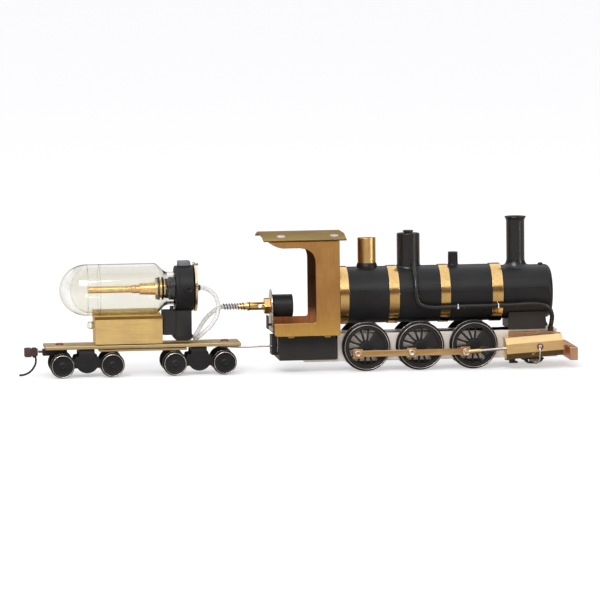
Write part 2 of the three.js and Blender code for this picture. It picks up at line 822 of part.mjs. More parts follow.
// The black ring that holds the bottle's neck, with a square boss on top.
function clampRing() {
  const { rear, step, front, flangeR, r, boreR, boreEnd, bossHalf, bossTop } = clamp;
  const body = turned(
    "x",
    [
      [boreR, rear],
      [flangeR, rear],
      [flangeR, step - 0.4],
      [r, step],
      [r, front],
      [0, front],
      [0, boreEnd],
      [boreR, boreEnd],
      [boreR, rear],
    ],
    [0, 0, bottle.z],
    26,
  );
  const bossBottom = bottle.z + r - 1.2;
  return join(body, block([step - 0.3, -bossHalf, bossBottom], [front - 0.9, bossHalf, bossTop]));
}

const valveDisc = () =>
  join(
    bar("x", valve.r, valve.rear, valve.front, [0, 0, bottle.z], 26),
    bar("x", valve.hubR, valve.front - 0.3, valve.hubFront, [0, 0, bottle.z], 6),
  );

// The column under the clamp ring: a shaft on a chamfered foot, with a block beside the tank.
function supportColumn() {
  const { rear, front, half, bottom, top } = column;
  const flare = 0.4;
  const foot = new THREE.Shape();
  foot.moveTo(rear - flare, bottom + 1);
  foot.lineTo(rear + 1 - flare, bottom);
  foot.lineTo(front - 1 + flare, bottom);
  foot.lineTo(front + flare, bottom + 1);
  foot.lineTo(front + flare, bottom + 2);
  foot.lineTo(rear - flare, bottom + 2);
  const knobAt = [rear - 0.9, -half, 0];
  const besideTank = block(
    [columnBlock.rear, -columnBlock.half, columnBlock.bottom],
    [rear + 0.5, columnBlock.half, columnBlock.top],
  );
  const body = join(
    block([rear, -half, bottom + 1.5], [front, half, top]),
    sheetXZ(foot, -half, half),
    besideTank,
    bar("z", 0.85, columnBlock.top - 0.5, top, knobAt, 10),
  );
  const clampSeat = bar("x", clamp.r + 0.3, rear - 0.2, front + 2, [0, 0, bottle.z], drumSides);
  return cut(body, clampSeat);
}

// The hose's route, from the valve's hub down to the deck, round, and up to the burner's spring.
const hoseRoute = [
  [-38, 0, 33.8],
  [-36.3, -0.1, 33.5],
  [-34, -0.5, 32.3],
  [-32.3, -0.9, 30.4],
  [-31.4, -1.5, 28],
  [-31.3, -2.1, 25.4],
  [-32, -2.8, 22.8],
  [-33.4, -3.6, 20.4],
  [-35.2, -4.3, 18.3],
  [-37.3, -4.5, 16.55],
  [-38.75, -3.9, 15.25],
  [-39.9, -2.5, 14.3],
  [-40.45, -0.65, 13.9],
  [-40.4, 1.4, 14.25],
  [-39.7, 3.15, 15.15],
  [-38.45, 4.3, 16.8],
  [-36.95, 4.5, 19.3],
  [-35.3, 3.8, 21.6],
  [-33.5, 2.6, 23.5],
  [-31.7, 1, 25.1],
  [-29.5, 0, 26],
];

// The wire drawbar: an eye on the bracket's pin and another under the deck.
function drawbarWire() {
  const eye = (x, z) => ring("z", pivotPinR + 0.17, 1.25, z - 0.4, z + 0.4, [x, 0, 0], 10);
  const straight = wire(
    [
      [hitchX - 0.95, 0, 10],
      [-14, 0, 10],
      [-22, 0, 9.9],
      [-26, 0, 10.1],
      [-28, 0, 10.35],
    ],
    0.38,
    7,
    6,
  );
  return join(eye(hitchX, 10), straight, eye(-28.9, 10.35));
}

// ---------------------------------------------------------------- coupler

function couplerPocket() {
  const { pinX, z } = coupler;
  const { rear, front, half, bottom, top, slotHalf } = pocket;
  const body = block([rear, -half, bottom], [front, half, top]);
  const slot = block([rear - 1, -slotHalf, z - 0.6], [pinX + 1.6, slotHalf, z + 0.6]);
  return join(cut(body, slot), bar("z", pivotPinR, z - 0.8, z + 0.8, [pinX, 0, 0], 10));
}

// A knuckle coupler: shank, head with a jaw, and the curved trip pin below it. Drawn about its pin.
function couplerGeometry() {
  const { z, headBottom, headHeight, tripR } = coupler;
  const shank = block([-8.5, -0.9, z - 0.4], [-0.6, 0.9, z + 0.4]);
  const eye = ring("z", pivotPinR + 0.17, 1.35, z - 0.4, z + 0.4, [0, 0, 0], 10);
  const jaw = new THREE.Shape(
    [
      [-8.1, -1.4],
      [-8.1, 1.6],
      [-10.5, 2.8],
      [-13.1, 2.8],
      [-14, 1.6],
      [-12.7, 0.9],
      [-11.5, 0.7],
      [-11.5, -1.2],
      [-13.3, -1.2],
      [-13.3, -2.6],
      [-9.7, -2.6],
    ].map(([x, y]) => new THREE.Vector2(x, y)),
  );
  const options = { depth: headHeight, bevelEnabled: false };
  const head = new THREE.ExtrudeGeometry(jaw, options).translate(0, 0, headBottom);
  const trip = wire(
    [
      [-9.6, 0, 8.4],
      [-9.5, 0, 5.8],
      [-10.1, 0, 4.1],
      [-11.7, 0, 2.1],
      [-14, 0, 0.95],
      [-16.06, 0, 0.7],
    ],
    tripR,
    10,
    6,
  );
  const eyeSeat = bar("z", 1, z - 0.5, z + 0.5, [0, 0, 0], 10);
  return join(cut(join(shank, head, trip), eyeSeat), eye);
}

// ---------------------------------------------------------------- trucks

// Two wheels and their axle, turned as one about Y.
function wheelsetGeometry() {
  const { wheelBack, flangeSide, wheelFace } = railGap;
  const { flangeR, treadR, axleR } = truck;
  const half = [
    [axleR, wheelBack],
    [flangeR, wheelBack],
    [treadR, flangeSide],
    [treadR, wheelFace],
    [0, wheelFace],
  ];
  const nearHalf = half.map(([r, y]) => [r, -y]).reverse();
  return turned("y", [...nearHalf, ...half], [0, 0, 0], 20);
}

// An inside-bearing truck frame about its pivot: two side plates with a round-bottomed middle,
// a top bar and a bolster.
function truckFrameGeometry() {
  const { inner, outer, barHalf, barBottom, barTop, bolsterTop } = truckFrame;
  const reach = truck.wheelbase / 2;
  const armR = 1.4;
  const z = truck.flangeR;
  const arm = new THREE.Shape();
  arm.absarc(reach, z, armR, -Math.PI / 2, Math.PI / 2);
  arm.absarc(-reach, z, armR, Math.PI / 2, (3 * Math.PI) / 2);
  const middle = new THREE.Shape();
  middle.moveTo(-shield.half, barBottom + 0.3);
  middle.lineTo(-shield.half, shield.shoulderZ);
  middle.absarc(0, shield.shoulderZ, shield.half, Math.PI, 2 * Math.PI);
  middle.lineTo(shield.half, barBottom + 0.3);
  const plates = [
    [-outer, -inner],
    [inner, outer],
  ].flatMap(([y0, y1]) => [sheetXZ(arm, y0, y1, 4), sheetXZ(middle, y0, y1, 6)]);
  const topBar = block([-barHalf, -outer, barBottom], [barHalf, outer, barTop]);
  const bolster = block([-3, -outer, barTop - 0.3], [3, outer, bolsterTop]);
  const holes = [-reach, reach].map((x) => bar("y", truck.holeR, -outer - 1, outer + 1, [x, 0, z], 8));
  return cut(join(topBar, bolster, ...plates), ...holes);
}

function truckGroup(name, x) {
  const wheelsets = [
    ["rear", -truck.wheelbase / 2],
    ["front", truck.wheelbase / 2],
  ].map(([end, atX]) => {
    const wheelset = named(`${name}_wheelset_${end}`, wheelsetGeometry(), materials.blackPaint);
    return groupAt(atX, 0, truck.flangeR, wheelset);
  });
  const truckBody = named(`${name}_frame`, truckFrameGeometry(), materials.blackPlastic);
  return groupAt(x, 0, 0, truckBody, ...wheelsets);
}

// ---------------------------------------------------------------- assembly

const sideRods = sides.map((side) => {
  const [dx, dz] = crankOffset(side);
  const rod = onSide(named(`side_rod_${side}`, sideRodGeometry(), materials.brass), side);
  return groupAt(axleX[2] + dx, 0, axleZ + dz, rod);
});

const locomotive = new THREE.Group();
locomotive.add(
  named("main_frame", mainFrame(), materials.aluminium),
  named("boiler_shell", boilerShell(), materials.blackPaint),
  named("boiler_ring_rear", boilerBand(bandX.rear), materials.polishedBrass),
  named("boiler_band_1", boilerBand(bandX.first), materials.polishedBrass),
  named("boiler_band_2", boilerBand(bandX.second), materials.polishedBrass),
  named("boiler_band_3", boilerBand(bandX.third), materials.polishedBrass),
  named("smokebox", smokeboxShell(), materials.blackPaint),
  named("chimney", chimneyGeometry(), materials.blackPaint),
  named("steam_dome", domeGeometry(), materials.blackPaint),
  named("safety_valve_stack", safetyStack(), materials.brass),
  named("whistle_stub", whistleStub(), materials.blackPaint),
  named("smokebox_saddle", smokeboxSaddle(), materials.blackPaint),
  named("cab_front", cabFront(), materials.brass),
  named("cab_roof", cabRoof(), materials.brass),
  named("firebox_case", fireboxCase(), materials.blackPaint),
  named("drawbar_bracket", drawbarBracket(), materials.blackPaint),
  named("burner_plate", burnerPlate(), materials.steel),
  named("burner_body", burnerBody(), materials.blackPaint),
  named("gas_jet", gasJet(), materials.polishedBrass),
  named("hose_spring", hoseSpringGeometry(), materials.steel),
  named("buffer_beam", bufferBeam(), materials.copper),
  ...sides.flatMap((side) => [
    onSide(named(`cab_side_${side}`, cabSide(), materials.brass), side),
    onSide(named(`steam_pipe_${side}`, steamPipeGeometry(), materials.blackPaint), side),
    onSide(named(`port_block_${side}`, portBlockGeometry(), materials.copper), side),
    cylinderGroup(side),
  ]),
  ...["rear", "middle", "front"].map((name, i) => driverAxle(i, name)),
  ...sideRods,
);

const tender = new THREE.Group();
tender.add(
  named("tender_deck", deckStrip(), materials.brass),
  named("stiffener_plate", stiffenerPlate(), materials.brass),
  named("tank_box", tankBox(), materials.brass),
  named("glass_bottle", glassBottle(), materials.glass),
  named("dip_tube", dipTube(), materials.polishedBrass),
  named("clamp_ring", clampRing(), materials.blackPlastic),
  named("valve_disc", valveDisc(), materials.polishedBrass),
  named("support_column", supportColumn(), materials.blackPlastic),
  named("gas_hose", wire(hoseRoute, hoseR, 26), materials.silicone),
  named("drawbar", drawbarWire(), materials.steel),
  named("coupler_pocket", couplerPocket(), materials.blackPlastic),
  groupAt(coupler.pinX, 0, 0, named("coupler", couplerGeometry(), materials.blackPlastic)),
  truckGroup("rear_truck", truck.rearX),
  truckGroup("front_truck", truck.frontX),
);

const train = new THREE.Group();
train.add(locomotive, tender);

export default train;
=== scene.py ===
"""The looks of a hand-built live-steam train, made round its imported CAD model.

Shapes are drawn in millimetres and become metres as each piece is made.
+X is the locomotive's front, -Y its near side and +Z up. The wheel flanges stand on Z = 0.
"""

import math

import bmesh
import bpy
from mathutils import Matrix, Vector


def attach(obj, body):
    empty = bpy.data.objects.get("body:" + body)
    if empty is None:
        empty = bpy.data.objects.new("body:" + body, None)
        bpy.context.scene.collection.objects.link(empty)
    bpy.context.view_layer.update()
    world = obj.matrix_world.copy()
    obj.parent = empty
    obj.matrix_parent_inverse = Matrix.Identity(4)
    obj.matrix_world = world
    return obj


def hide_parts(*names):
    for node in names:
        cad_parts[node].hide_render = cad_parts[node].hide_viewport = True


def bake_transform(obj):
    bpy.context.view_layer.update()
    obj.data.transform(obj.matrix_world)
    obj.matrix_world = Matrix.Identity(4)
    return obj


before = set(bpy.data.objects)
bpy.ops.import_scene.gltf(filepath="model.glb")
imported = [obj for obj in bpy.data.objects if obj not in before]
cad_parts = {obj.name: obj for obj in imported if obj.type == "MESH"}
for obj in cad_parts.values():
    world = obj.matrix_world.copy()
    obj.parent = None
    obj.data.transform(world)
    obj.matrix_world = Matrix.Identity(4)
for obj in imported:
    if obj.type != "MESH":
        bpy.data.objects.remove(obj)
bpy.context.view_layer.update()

MM = 0.001
ORIGIN = (0, 0, 0)
SIDES = ("near", "far")


# ---------------------------------------------------------------- camera


def aim_camera():
    """A long lens at the photograph's angle: a little above, and a little towards the rear."""
    azimuth, elevation, roll = (math.radians(a) for a in (6.6, 5.57, 0.64))
    lens, sensor, view_width = 300, 36, 0.237
    target = Vector((1.4, 0, 28.0)) * MM
    toward = Vector(
        (
            -math.sin(azimuth) * math.cos(elevation),
            -math.cos(azimuth) * math.cos(elevation),
            math.sin(elevation),
        )
    )
    data = bpy.data.cameras.new("camera")
    data.lens = lens
    data.sensor_width = sensor
    data.clip_start = 0.1
    data.clip_end = 60
    camera = bpy.data.objects.new("camera", data)
    turn = toward.to_track_quat("Z", "Y").to_matrix() @ Matrix.Rotation(-roll, 3, "Z")
    place = Matrix.Translation(target + toward * (view_width * lens / sensor))
    camera.matrix_world = place @ turn.to_4x4()
    bpy.context.scene.collection.objects.link(camera)
    bpy.context.scene.camera = camera


aim_camera()


# ---------------------------------------------------------------- finishes


class Tree:
    """Short calls for building one material's nodes."""

    def __init__(self, name):
        self.material = bpy.data.materials.new(name)
        self.material.use_nodes = True
        self.nodes = self.material.node_tree.nodes
        self.shader = self.nodes["Principled BSDF"]

    def add(self, kind, values=(), **options):
        made = self.nodes.new(kind)
        for key, value in options.items():
            setattr(made, key, value)
        for key, value in dict(values).items():
            made.inputs[key].default_value = value
        return made

    def link(self, output, socket):
        self.material.node_tree.links.new(output, socket)

    def noise(self, scale, detail, stretch=(1, 1, 1)):
        place = self.add("ShaderNodeTexCoord").outputs["Object"]
        mapping = self.add("ShaderNodeMapping", {"Scale": stretch})
        self.link(place, mapping.inputs["Vector"])
        made = self.add("ShaderNodeTexNoise", {"Scale": scale, "Detail": detail, "Roughness": 0.62})
        self.link(mapping.outputs["Vector"], made.inputs["Vector"])
        return made.outputs["Fac"]

    def rerange(self, value, low, high, to_low, to_high):
        limits = {"From Min": low, "From Max": high, "To Min": to_low, "To Max": to_high}
        made = self.add("ShaderNodeMapRange", limits)
        self.link(value, made.inputs["Value"])
        return made.outputs["Result"]

    def mix(self, factor, first, second, blend="MIX"):
        made = self.add("ShaderNodeMix", data_type="RGBA", blend_type=blend)
        for socket, value in zip((made.inputs[0], made.inputs[6], made.inputs[7]), (factor, first, second)):
            if isinstance(value, bpy.types.NodeSocket):
                self.link(value, socket)
            elif isinstance(value, tuple):
                socket.default_value = (*value, 1)
            else:
                socket.default_value = value
        return made.outputs[2]


def surface(name, base, second, metallic, rough, **extra):
    """Two tones in soft clouds, a stretched grain that shows in tone, gloss and bump, and lighter edges: wear
    on some finishes, a painted highlight along the edges of the tank and cab brass.

    fade is (low, high, tone): that tone at the low height, gone at the high one, in millimetres.
    """
    cloud = extra.get("cloud", 90)
    grain = extra.get("grain", (1500, 1500, 1500))
    spread = extra.get("spread", 0.08)
    depth = extra.get("depth", 0.12)
    contrast = extra.get("contrast", 0.12)
    worn = extra.get("worn")
    tree = Tree(name)
    clouds = tree.rerange(tree.noise(cloud, 4), 0.38, 0.64, 0, 1)
    lines = tree.noise(1, 5, grain)
    tone = tree.mix(clouds, base, second)
    if "fade" in extra:
        low, high, low_tone = extra["fade"]
        split = tree.add("ShaderNodeSeparateXYZ")
        tree.link(tree.add("ShaderNodeTexCoord").outputs["Object"], split.inputs[0])
        height = tree.rerange(split.outputs["Z"], low * MM, high * MM, 0, 1)
        tone = tree.mix(height, low_tone, tone)
    tone = tree.mix(1.0, tone, tree.rerange(lines, 0.3, 0.7, 1 - contrast, 1 + contrast), "MULTIPLY")
    # Lighter edges found by pointiness: rubbed wear on some finishes, a painted highlight on the tank and cab
    # brass.
    if worn:
        points = tree.add("ShaderNodeNewGeometry").outputs["Pointiness"]
        edge = tree.rerange(points, 0.53, 0.62, 0, extra.get("wear", 0.7))
        tone = tree.mix(edge, tone, worn)
    tree.link(tone, tree.shader.inputs["Base Color"])
    tree.link(tree.rerange(lines, 0.3, 0.7, rough - spread, rough + spread), tree.shader.inputs["Roughness"])
    if depth:
        bump = tree.add("ShaderNodeBump", {"Strength": depth, "Distance": 0.08 * MM})
        tree.link(lines, bump.inputs["Height"])
        tree.link(bump.outputs["Normal"], tree.shader.inputs["Normal"])
    tree.shader.inputs["Metallic"].default_value = metallic
    for socket, value in extra.get("sockets", {}).items():
        tree.shader.inputs[socket].default_value = value
    return tree.material


ALONG_X = (120, 1800, 1800)
ALONG_Y = (1800, 120, 1800)
ALONG_Z = (1800, 1800, 120)
FINE = (3500, 3500, 3500)

DULL = {"Specular IOR Level": 0.25}

black_paint = surface(
    "satin_black_paint",
    (0.009, 0.009, 0.0095),
    (0.014, 0.0135, 0.0135),
    0.0,
    0.42,
    worn=(0.045, 0.040, 0.036),
    sockets=DULL,
)
boiler_paint = surface(
    "boiler_black",
    (0.010, 0.010, 0.0105),
    (0.016, 0.0155, 0.0155),
    0.0,
    0.34,
    cloud=50,
    grain=ALONG_X,
    depth=0.05,
    sockets=DULL,
)
cast_black = surface(
    "cast_black",
    (0.006, 0.0065, 0.007),
    (0.012, 0.0115, 0.0115),
    0.0,
    0.48,
    grain=FINE,
    worn=(0.07, 0.062, 0.056),
    sockets=DULL,
)
black_plastic = surface(
    "black_plastic",
    (0.008, 0.008, 0.009),
    (0.013, 0.012, 0.0125),
    0.0,
    0.5,
    grain=FINE,
    worn=(0.04, 0.037, 0.037),
    sockets=DULL,
)
grey_boss = surface("grey_moulding", (0.10, 0.10, 0.11), (0.16, 0.15, 0.16), 0.0, 0.6, grain=FINE)
rusted = surface(
    "blackened_steel",
    (0.034, 0.017, 0.020),
    (0.070, 0.034, 0.035),
    0.35,
    0.55,
    cloud=700,
    worn=(0.13, 0.08, 0.07),
)
red_screw = surface(
    "browned_screw", (0.16, 0.055, 0.040), (0.30, 0.13, 0.10), 0.8, 0.45, cloud=900, worn=(0.5, 0.33, 0.27)
)
# The lighter edge tone on the tank's brass is a painted highlight, meant for the bright top edge of the tank
# box.
tank_brass = surface(
    "brass_sheet",
    (0.95, 0.64, 0.125),
    (0.82, 0.49, 0.09),
    1.0,
    0.46,
    cloud=110,
    grain=ALONG_X,
    contrast=0.09,
    worn=(1.0, 0.88, 0.62),
    wear=0.8,
)
# A darker copy of the tank's brass: painted shade for the dark band just under the tank box's top edge.
lid_band_painted_shade = surface(
    "brass_painted_shade",
    (0.34, 0.19, 0.045),
    (0.28, 0.15, 0.035),
    1.0,
    0.5,
    cloud=200,
    grain=ALONG_X,
)
deck_brass = surface(
    "brass_pale", (0.70, 0.55, 0.30), (0.62, 0.47, 0.25), 1.0, 0.42, cloud=70, grain=ALONG_X, contrast=0.08
)
# The lighter edge tone here is a painted highlight along the cab's edges; the tone turns brighter and
# yellower towards the bottom, from 24 mm down to 15 mm.
cab_brass = surface(
    "brass_cab_painted_edge_highlight",
    (0.48, 0.235, 0.075),
    (0.60, 0.325, 0.10),
    1.0,
    0.46,
    fade=(15, 24, (0.74, 0.45, 0.11)),
    cloud=42,
    grain=ALONG_Z,
    worn=(0.8, 0.6, 0.3),
    wear=0.4,
)
# Dark brown standing in for the shade on the cab sides' inner faces, a painted shade; the code turns it
# bright orange towards the bottom, below 24 mm.
inner_face_painted_shade = surface(
    "brass_inside_painted_shade",
    (0.17, 0.085, 0.05),
    (0.25, 0.13, 0.07),
    1.0,
    0.5,
    fade=(20, 24, (0.95, 0.42, 0.18)),
    cloud=50,
    grain=ALONG_Z,
)
# A dark brown copy of the brass for the cab's front plate, inside the cab: painted shade.
front_plate_painted_shade = surface(
    "brass_front_painted_shade", (0.085, 0.046, 0.028), (0.20, 0.08, 0.035), 0.6, 0.6, cloud=60, grain=ALONG_Z
)
roof_brass = surface(
    "brass_olive",
    (0.34, 0.22, 0.035),
    (0.25, 0.155, 0.028),
    1.0,
    0.5,
    cloud=60,
    grain=ALONG_X,
    worn=(0.62, 0.48, 0.22),
    wear=0.5,
)
rod_brass = surface(
    "brass_satin",
    (0.52, 0.30, 0.12),
    (0.64, 0.39, 0.14),
    1.0,
    0.42,
    cloud=120,
    grain=ALONG_X,
    worn=(0.8, 0.6, 0.35),
)
cylinder_brass = surface(
    "brass_machined", (1.0, 0.74, 0.36), (0.96, 0.66, 0.31), 1.0, 0.34, cloud=90, grain=ALONG_X, contrast=0.06
)
gloss_black = surface(
    "gloss_black",
    (0.008, 0.0075, 0.0078),
    (0.012, 0.011, 0.011),
    0.0,
    0.27,
    cloud=70,
    grain=ALONG_Z,
    depth=0.03,
)
stack_brass = surface(
    "brass_turned",
    (0.86, 0.60, 0.25),
    (0.76, 0.47, 0.22),
    1.0,
    0.3,
    cloud=120,
    grain=(900, 900, 60),
    contrast=0.2,
)
polished_brass = surface(
    "polished_brass", (0.88, 0.61, 0.25), (0.81, 0.52, 0.20), 1.0, 0.17, cloud=260, spread=0.04, depth=0
)
cream_brass = surface(
    "brass_cream", (0.90, 0.76, 0.50), (0.84, 0.68, 0.42), 1.0, 0.22, cloud=160, grain=FINE, contrast=0.06
)
beam_copper = surface(
    "copper_bar",
    (0.50, 0.20, 0.085),
    (0.72, 0.38, 0.19),
    1.0,
    0.42,
    cloud=110,
    grain=ALONG_Y,
    worn=(0.85, 0.6, 0.45),
)
port_bronze = surface(
    "bronze_block",
    (0.30, 0.16, 0.095),
    (0.40, 0.24, 0.15),
    1.0,
    0.45,
    cloud=140,
    grain=ALONG_Z,
    worn=(0.6, 0.4, 0.3),
)
bare_aluminium = surface(
    "milled_aluminium",
    (0.93, 0.90, 0.85),
    (0.88, 0.84, 0.78),
    0.6,
    0.46,
    cloud=50,
    grain=ALONG_X,
    contrast=0.06,
)
bright_steel = surface("bright_steel", (0.86, 0.82, 0.80), (0.76, 0.71, 0.69), 1.0, 0.28, grain=ALONG_X)
worn_steel = surface("worn_steel", (0.34, 0.30, 0.27), (0.26, 0.21, 0.18), 1.0, 0.4, cloud=150, grain=FINE)
rim_steel = surface("rim_steel", (0.95, 0.87, 0.82), (0.80, 0.71, 0.67), 1.0, 0.34, cloud=150, grain=FINE)
spring_wire = surface("spring_wire", (0.12, 0.095, 0.085), (0.07, 0.05, 0.045), 0.9, 0.45, grain=FINE)
pin_metal = surface("pin_heads", (0.80, 0.62, 0.48), (0.66, 0.47, 0.36), 1.0, 0.4, cloud=800, grain=FINE)
white_nylon = surface("white_nylon", (0.85, 0.84, 0.82), (0.75, 0.74, 0.72), 0.0, 0.4, cloud=800)


def clear(name, base, rough, ior, transmission, edge_tone=None):
    """A clear body with slow ripples. Glass is seen through more of its wall, so darker, edge on."""
    tree = Tree(name)
    waves = tree.noise(90, 3)
    bump = tree.add("ShaderNodeBump", {"Strength": 0.04, "Distance": 0.2 * MM})
    tree.link(waves, bump.inputs["Height"])
    tree.link(bump.outputs["Normal"], tree.shader.inputs["Normal"])
    tone = tree.mix(waves, base, tuple(channel * 0.94 for channel in base))
    if edge_tone:
        edge_on = tree.add("ShaderNodeLayerWeight", {"Blend": 0.5}).outputs["Facing"]
        tone = tree.mix(tree.rerange(edge_on, 0.62, 1.0, 0, 1), tone, edge_tone)
    tree.link(tone, tree.shader.inputs["Base Color"])
    tree.shader.inputs["Roughness"].default_value = rough
    tree.shader.inputs["IOR"].default_value = ior
    tree.shader.inputs["Transmission Weight"].default_value = transmission
    return tree.material


bottle_glass = clear("bottle_glass", (0.912, 0.905, 0.842), 0.0, 1.47, 1.0, (0.22, 0.20, 0.10))
silicone = clear("silicone", (0.83, 0.815, 0.80), 0.2, 1.38, 0.6)


# ---------------------------------------------------------------- shapes
# A shape is a list of points and a list of faces.


def on_axis(axis, along, u, v, centre=ORIGIN):
    point = {"x": (along, u, v), "y": (u, along, v), "z": (u, v, along)}[axis]
    return tuple(p + c for p, c in zip(point, centre))


def lathe(axis, profile, centre=ORIGIN, segments=96):
    """A turned shape: [radius, distance along the axis] pairs. It closes on itself if its ends meet."""
    closed = tuple(profile[0]) == tuple(profile[-1])
    verts, faces, rings = [], [], []
    for radius, along in profile[:-1] if closed else profile:
        count = segments if radius else 1
        rings.append(range(len(verts), len(verts) + count))
        for i in range(count):
            turn = 2 * math.pi * i / segments
            verts.append(on_axis(axis, along, radius * math.cos(turn), radius * math.sin(turn), centre))
    following = rings[1:] + rings[:1] if closed else rings[1:]
    for a, b in zip(rings, following):
        for i in range(segments):
            j = (i + 1) % segments
            corners = [a[i % len(a)], a[j % len(a)], b[j % len(b)], b[i % len(b)]]
            faces.append(list(dict.fromkeys(corners)))
    return verts, faces


def bar(axis, radius, low, high, centre=ORIGIN, segments=48):
    return lathe(axis, [(0, low), (radius, low), (radius, high), (0, high)], centre, segments)


def hoop(axis, bore, radius, low, high, centre=ORIGIN, segments=96):
    profile = [(bore, low), (radius, low), (radius, high), (bore, high), (bore, low)]
    return lathe(axis, profile, centre, segments)


def torus(axis, radius, thick, along, centre=ORIGIN, segments=96, sides=12):
    turns = [2 * math.pi * i / sides for i in range(sides)]
    profile = [(radius + thick * math.cos(t), along + thick * math.sin(t)) for t in turns]
    return lathe(axis, profile + profile[:1], centre, segments)


def prism(axis, outline, low, high):
    n = len(outline)
    verts = [on_axis(axis, along, u, v) for along in (low, high) for u, v in outline]
    faces = [list(range(n)), list(range(n, 2 * n))]
    faces += [[i, (i + 1) % n, n + (i + 1) % n, n + i] for i in range(n)]
    return verts, faces


def box(low, high):
    (x0, y0, z0), (x1, y1, z1) = low, high
    return prism("z", [(x0, y0), (x1, y0), (x1, y1), (x0, y1)], z0, z1)


def hexagon(axis, across, low, high, centre=ORIGIN):
    return bar(axis, across / math.sqrt(3), low, high, centre, 6)


def arc(u, v, radius, start, end, steps=16):
    """Points round part of a circle, from one angle to another in degrees."""
    turns = [math.radians(start + (end - start) * i / steps) for i in range(steps + 1)]
    return [(u + radius * math.cos(t), v + radius * math.sin(t)) for t in turns]


def swept_corner(start, control, end, steps=10):
    """Points on the curve from start to end that bends towards control."""
    places = []
    for i in range(steps + 1):
        t = i / steps
        weights = ((1 - t) ** 2, 2 * t * (1 - t), t**2)
        places.append(tuple(sum(w * p[k] for w, p in zip(weights, (start, control, end))) for k in (0, 1)))
    return places


def smooth(points, per_span=8):
    """A centripetal Catmull-Rom curve through the points."""
    points = [Vector(p) for p in points]
    ends = [2 * points[0] - points[1], *points, 2 * points[-1] - points[-2]]
    curve = []
    for p0, p1, p2, p3 in zip(ends, ends[1:], ends[2:], ends[3:]):
        before, span, after = (math.sqrt((b - a).length) for a, b in ((p0, p1), (p1, p2), (p2, p3)))
        leave = ((p1 - p0) / before - (p2 - p0) / (before + span) + (p2 - p1) / span) * span
        arrive = ((p2 - p1) / span - (p3 - p1) / (span + after) + (p3 - p2) / after) * span
        for i in range(per_span):
            t = i / per_span
            curve.append(
                (2 * t**3 - 3 * t**2 + 1) * p1
                + (t**3 - 2 * t**2 + t) * leave
                + (3 * t**2 - 2 * t**3) * p2
                + (t**3 - t**2) * arrive
            )
    return curve + [points[-1]]


def tube(path, radius, sides=16, end_radius=None):
    """A round bar along a path of points, tapering to end_radius if that is given."""
    path = [Vector(p) for p in path]
    end_radius = radius if end_radius is None else end_radius
    verts, faces = [], []
    across = None
    for i, place in enumerate(path):
        ahead = (path[min(i + 1, len(path) - 1)] - path[max(i - 1, 0)]).normalized()
        if across is None:
            across = ahead.orthogonal()
        across = (across - ahead * across.dot(ahead)).normalized()
        up = ahead.cross(across)
        here = radius + (end_radius - radius) * i / (len(path) - 1)
        for k in range(sides):
            turn = 2 * math.pi * k / sides
            verts.append(tuple(place + (across * math.cos(turn) + up * math.sin(turn)) * here))
    for i in range(len(path) - 1):
        for k in range(sides):
            j = (k + 1) % sides
            row, nxt = i * sides, (i + 1) * sides
            faces.append([row + k, row + j, nxt + j, nxt + k])
    faces += [list(range(sides)), list(range(len(verts) - sides, len(verts)))]
    return verts, faces


def joined(*shapes):
    verts, faces = [], []
    for more_verts, more_faces in shapes:
        start = len(verts)
        verts += more_verts
        faces += [[start + i for i in face] for face in more_faces]
    return verts, faces


def changed(shape, change):
    return [tuple(change(Vector(v))) for v in shape[0]], shape[1]


def moved(shape, by):
    return changed(shape, lambda v: v + Vector(by))


def turned(shape, axis, degrees):
    turn = Matrix.Rotation(math.radians(degrees), 3, axis)
    return changed(shape, lambda v: turn @ v)


def on_side(shape, side):
    """A shape drawn for the near side, turned over in Y for the far side."""
    return shape if side == "near" else changed(shape, lambda v: Vector((v.x, -v.y, v.z)))


def cad_shape(node):
    """A CAD node's own shape, with its triangles joined back into flat faces."""
    bm = bmesh.new()
    bm.from_mesh(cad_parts[node].data)
    bmesh.ops.remove_doubles(bm, verts=bm.verts, dist=1e-7)
    bmesh.ops.dissolve_limit(bm, angle_limit=math.radians(1), verts=bm.verts, edges=bm.edges)
    bm.verts.index_update()
    shape = [tuple(v.co / MM) for v in bm.verts], [[v.index for v in face.verts] for face in bm.faces]
    bm.free()
    return shape


def object_of(name, shape):
    mesh = bpy.data.meshes.new(name)
    mesh.from_pydata([Vector(v) * MM for v in shape[0]], [], shape[1])
    bm = bmesh.new()
    bm.from_mesh(mesh)
    bmesh.ops.recalc_face_normals(bm, faces=bm.faces)
    for face in bm.faces:
        face.smooth = True
    bm.to_mesh(mesh)
    bm.free()
    made = bpy.data.objects.new(name, mesh)
    bpy.context.scene.collection.objects.link(made)
    return made


def cut(shape, *tools):
    """The shape with each tool's space taken away."""
    body = object_of("body", shape)
    others = [object_of("tool", tool) for tool in tools]
    for other in others:
        step = body.modifiers.new("cut", "BOOLEAN")
        step.operation = "DIFFERENCE"
        step.solver = "EXACT"
        step.object = other
    result = body.evaluated_get(bpy.context.evaluated_depsgraph_get()).to_mesh()
    shape = [tuple(v.co / MM) for v in result.vertices], [list(face.vertices) for face in result.polygons]
    for used in (body, *others):
        bpy.data.objects.remove(used)
    return shape


def piece(name, shape, body, finish, bevel=0.12, replaces=()):
    """A finished piece: soft edges, even shading, and the body that it moves with, if it moves with one."""
    made = object_of(name, shape)
    made.data.materials.append(finish)
    if bevel:
        edges = made.modifiers.new("edges", "BEVEL")
        edges.width = bevel * MM
        edges.segments = 2
        edges.limit_method = "ANGLE"
        edges.angle_limit = math.radians(32)
    else:
        made.data.set_sharp_from_angle(angle=math.radians(40))
    shading = made.modifiers.new("shading", "WEIGHTED_NORMAL")
    shading.keep_sharp = True
    if body:
        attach(made, body)
    if replaces:
        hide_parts(*replaces)
    return made


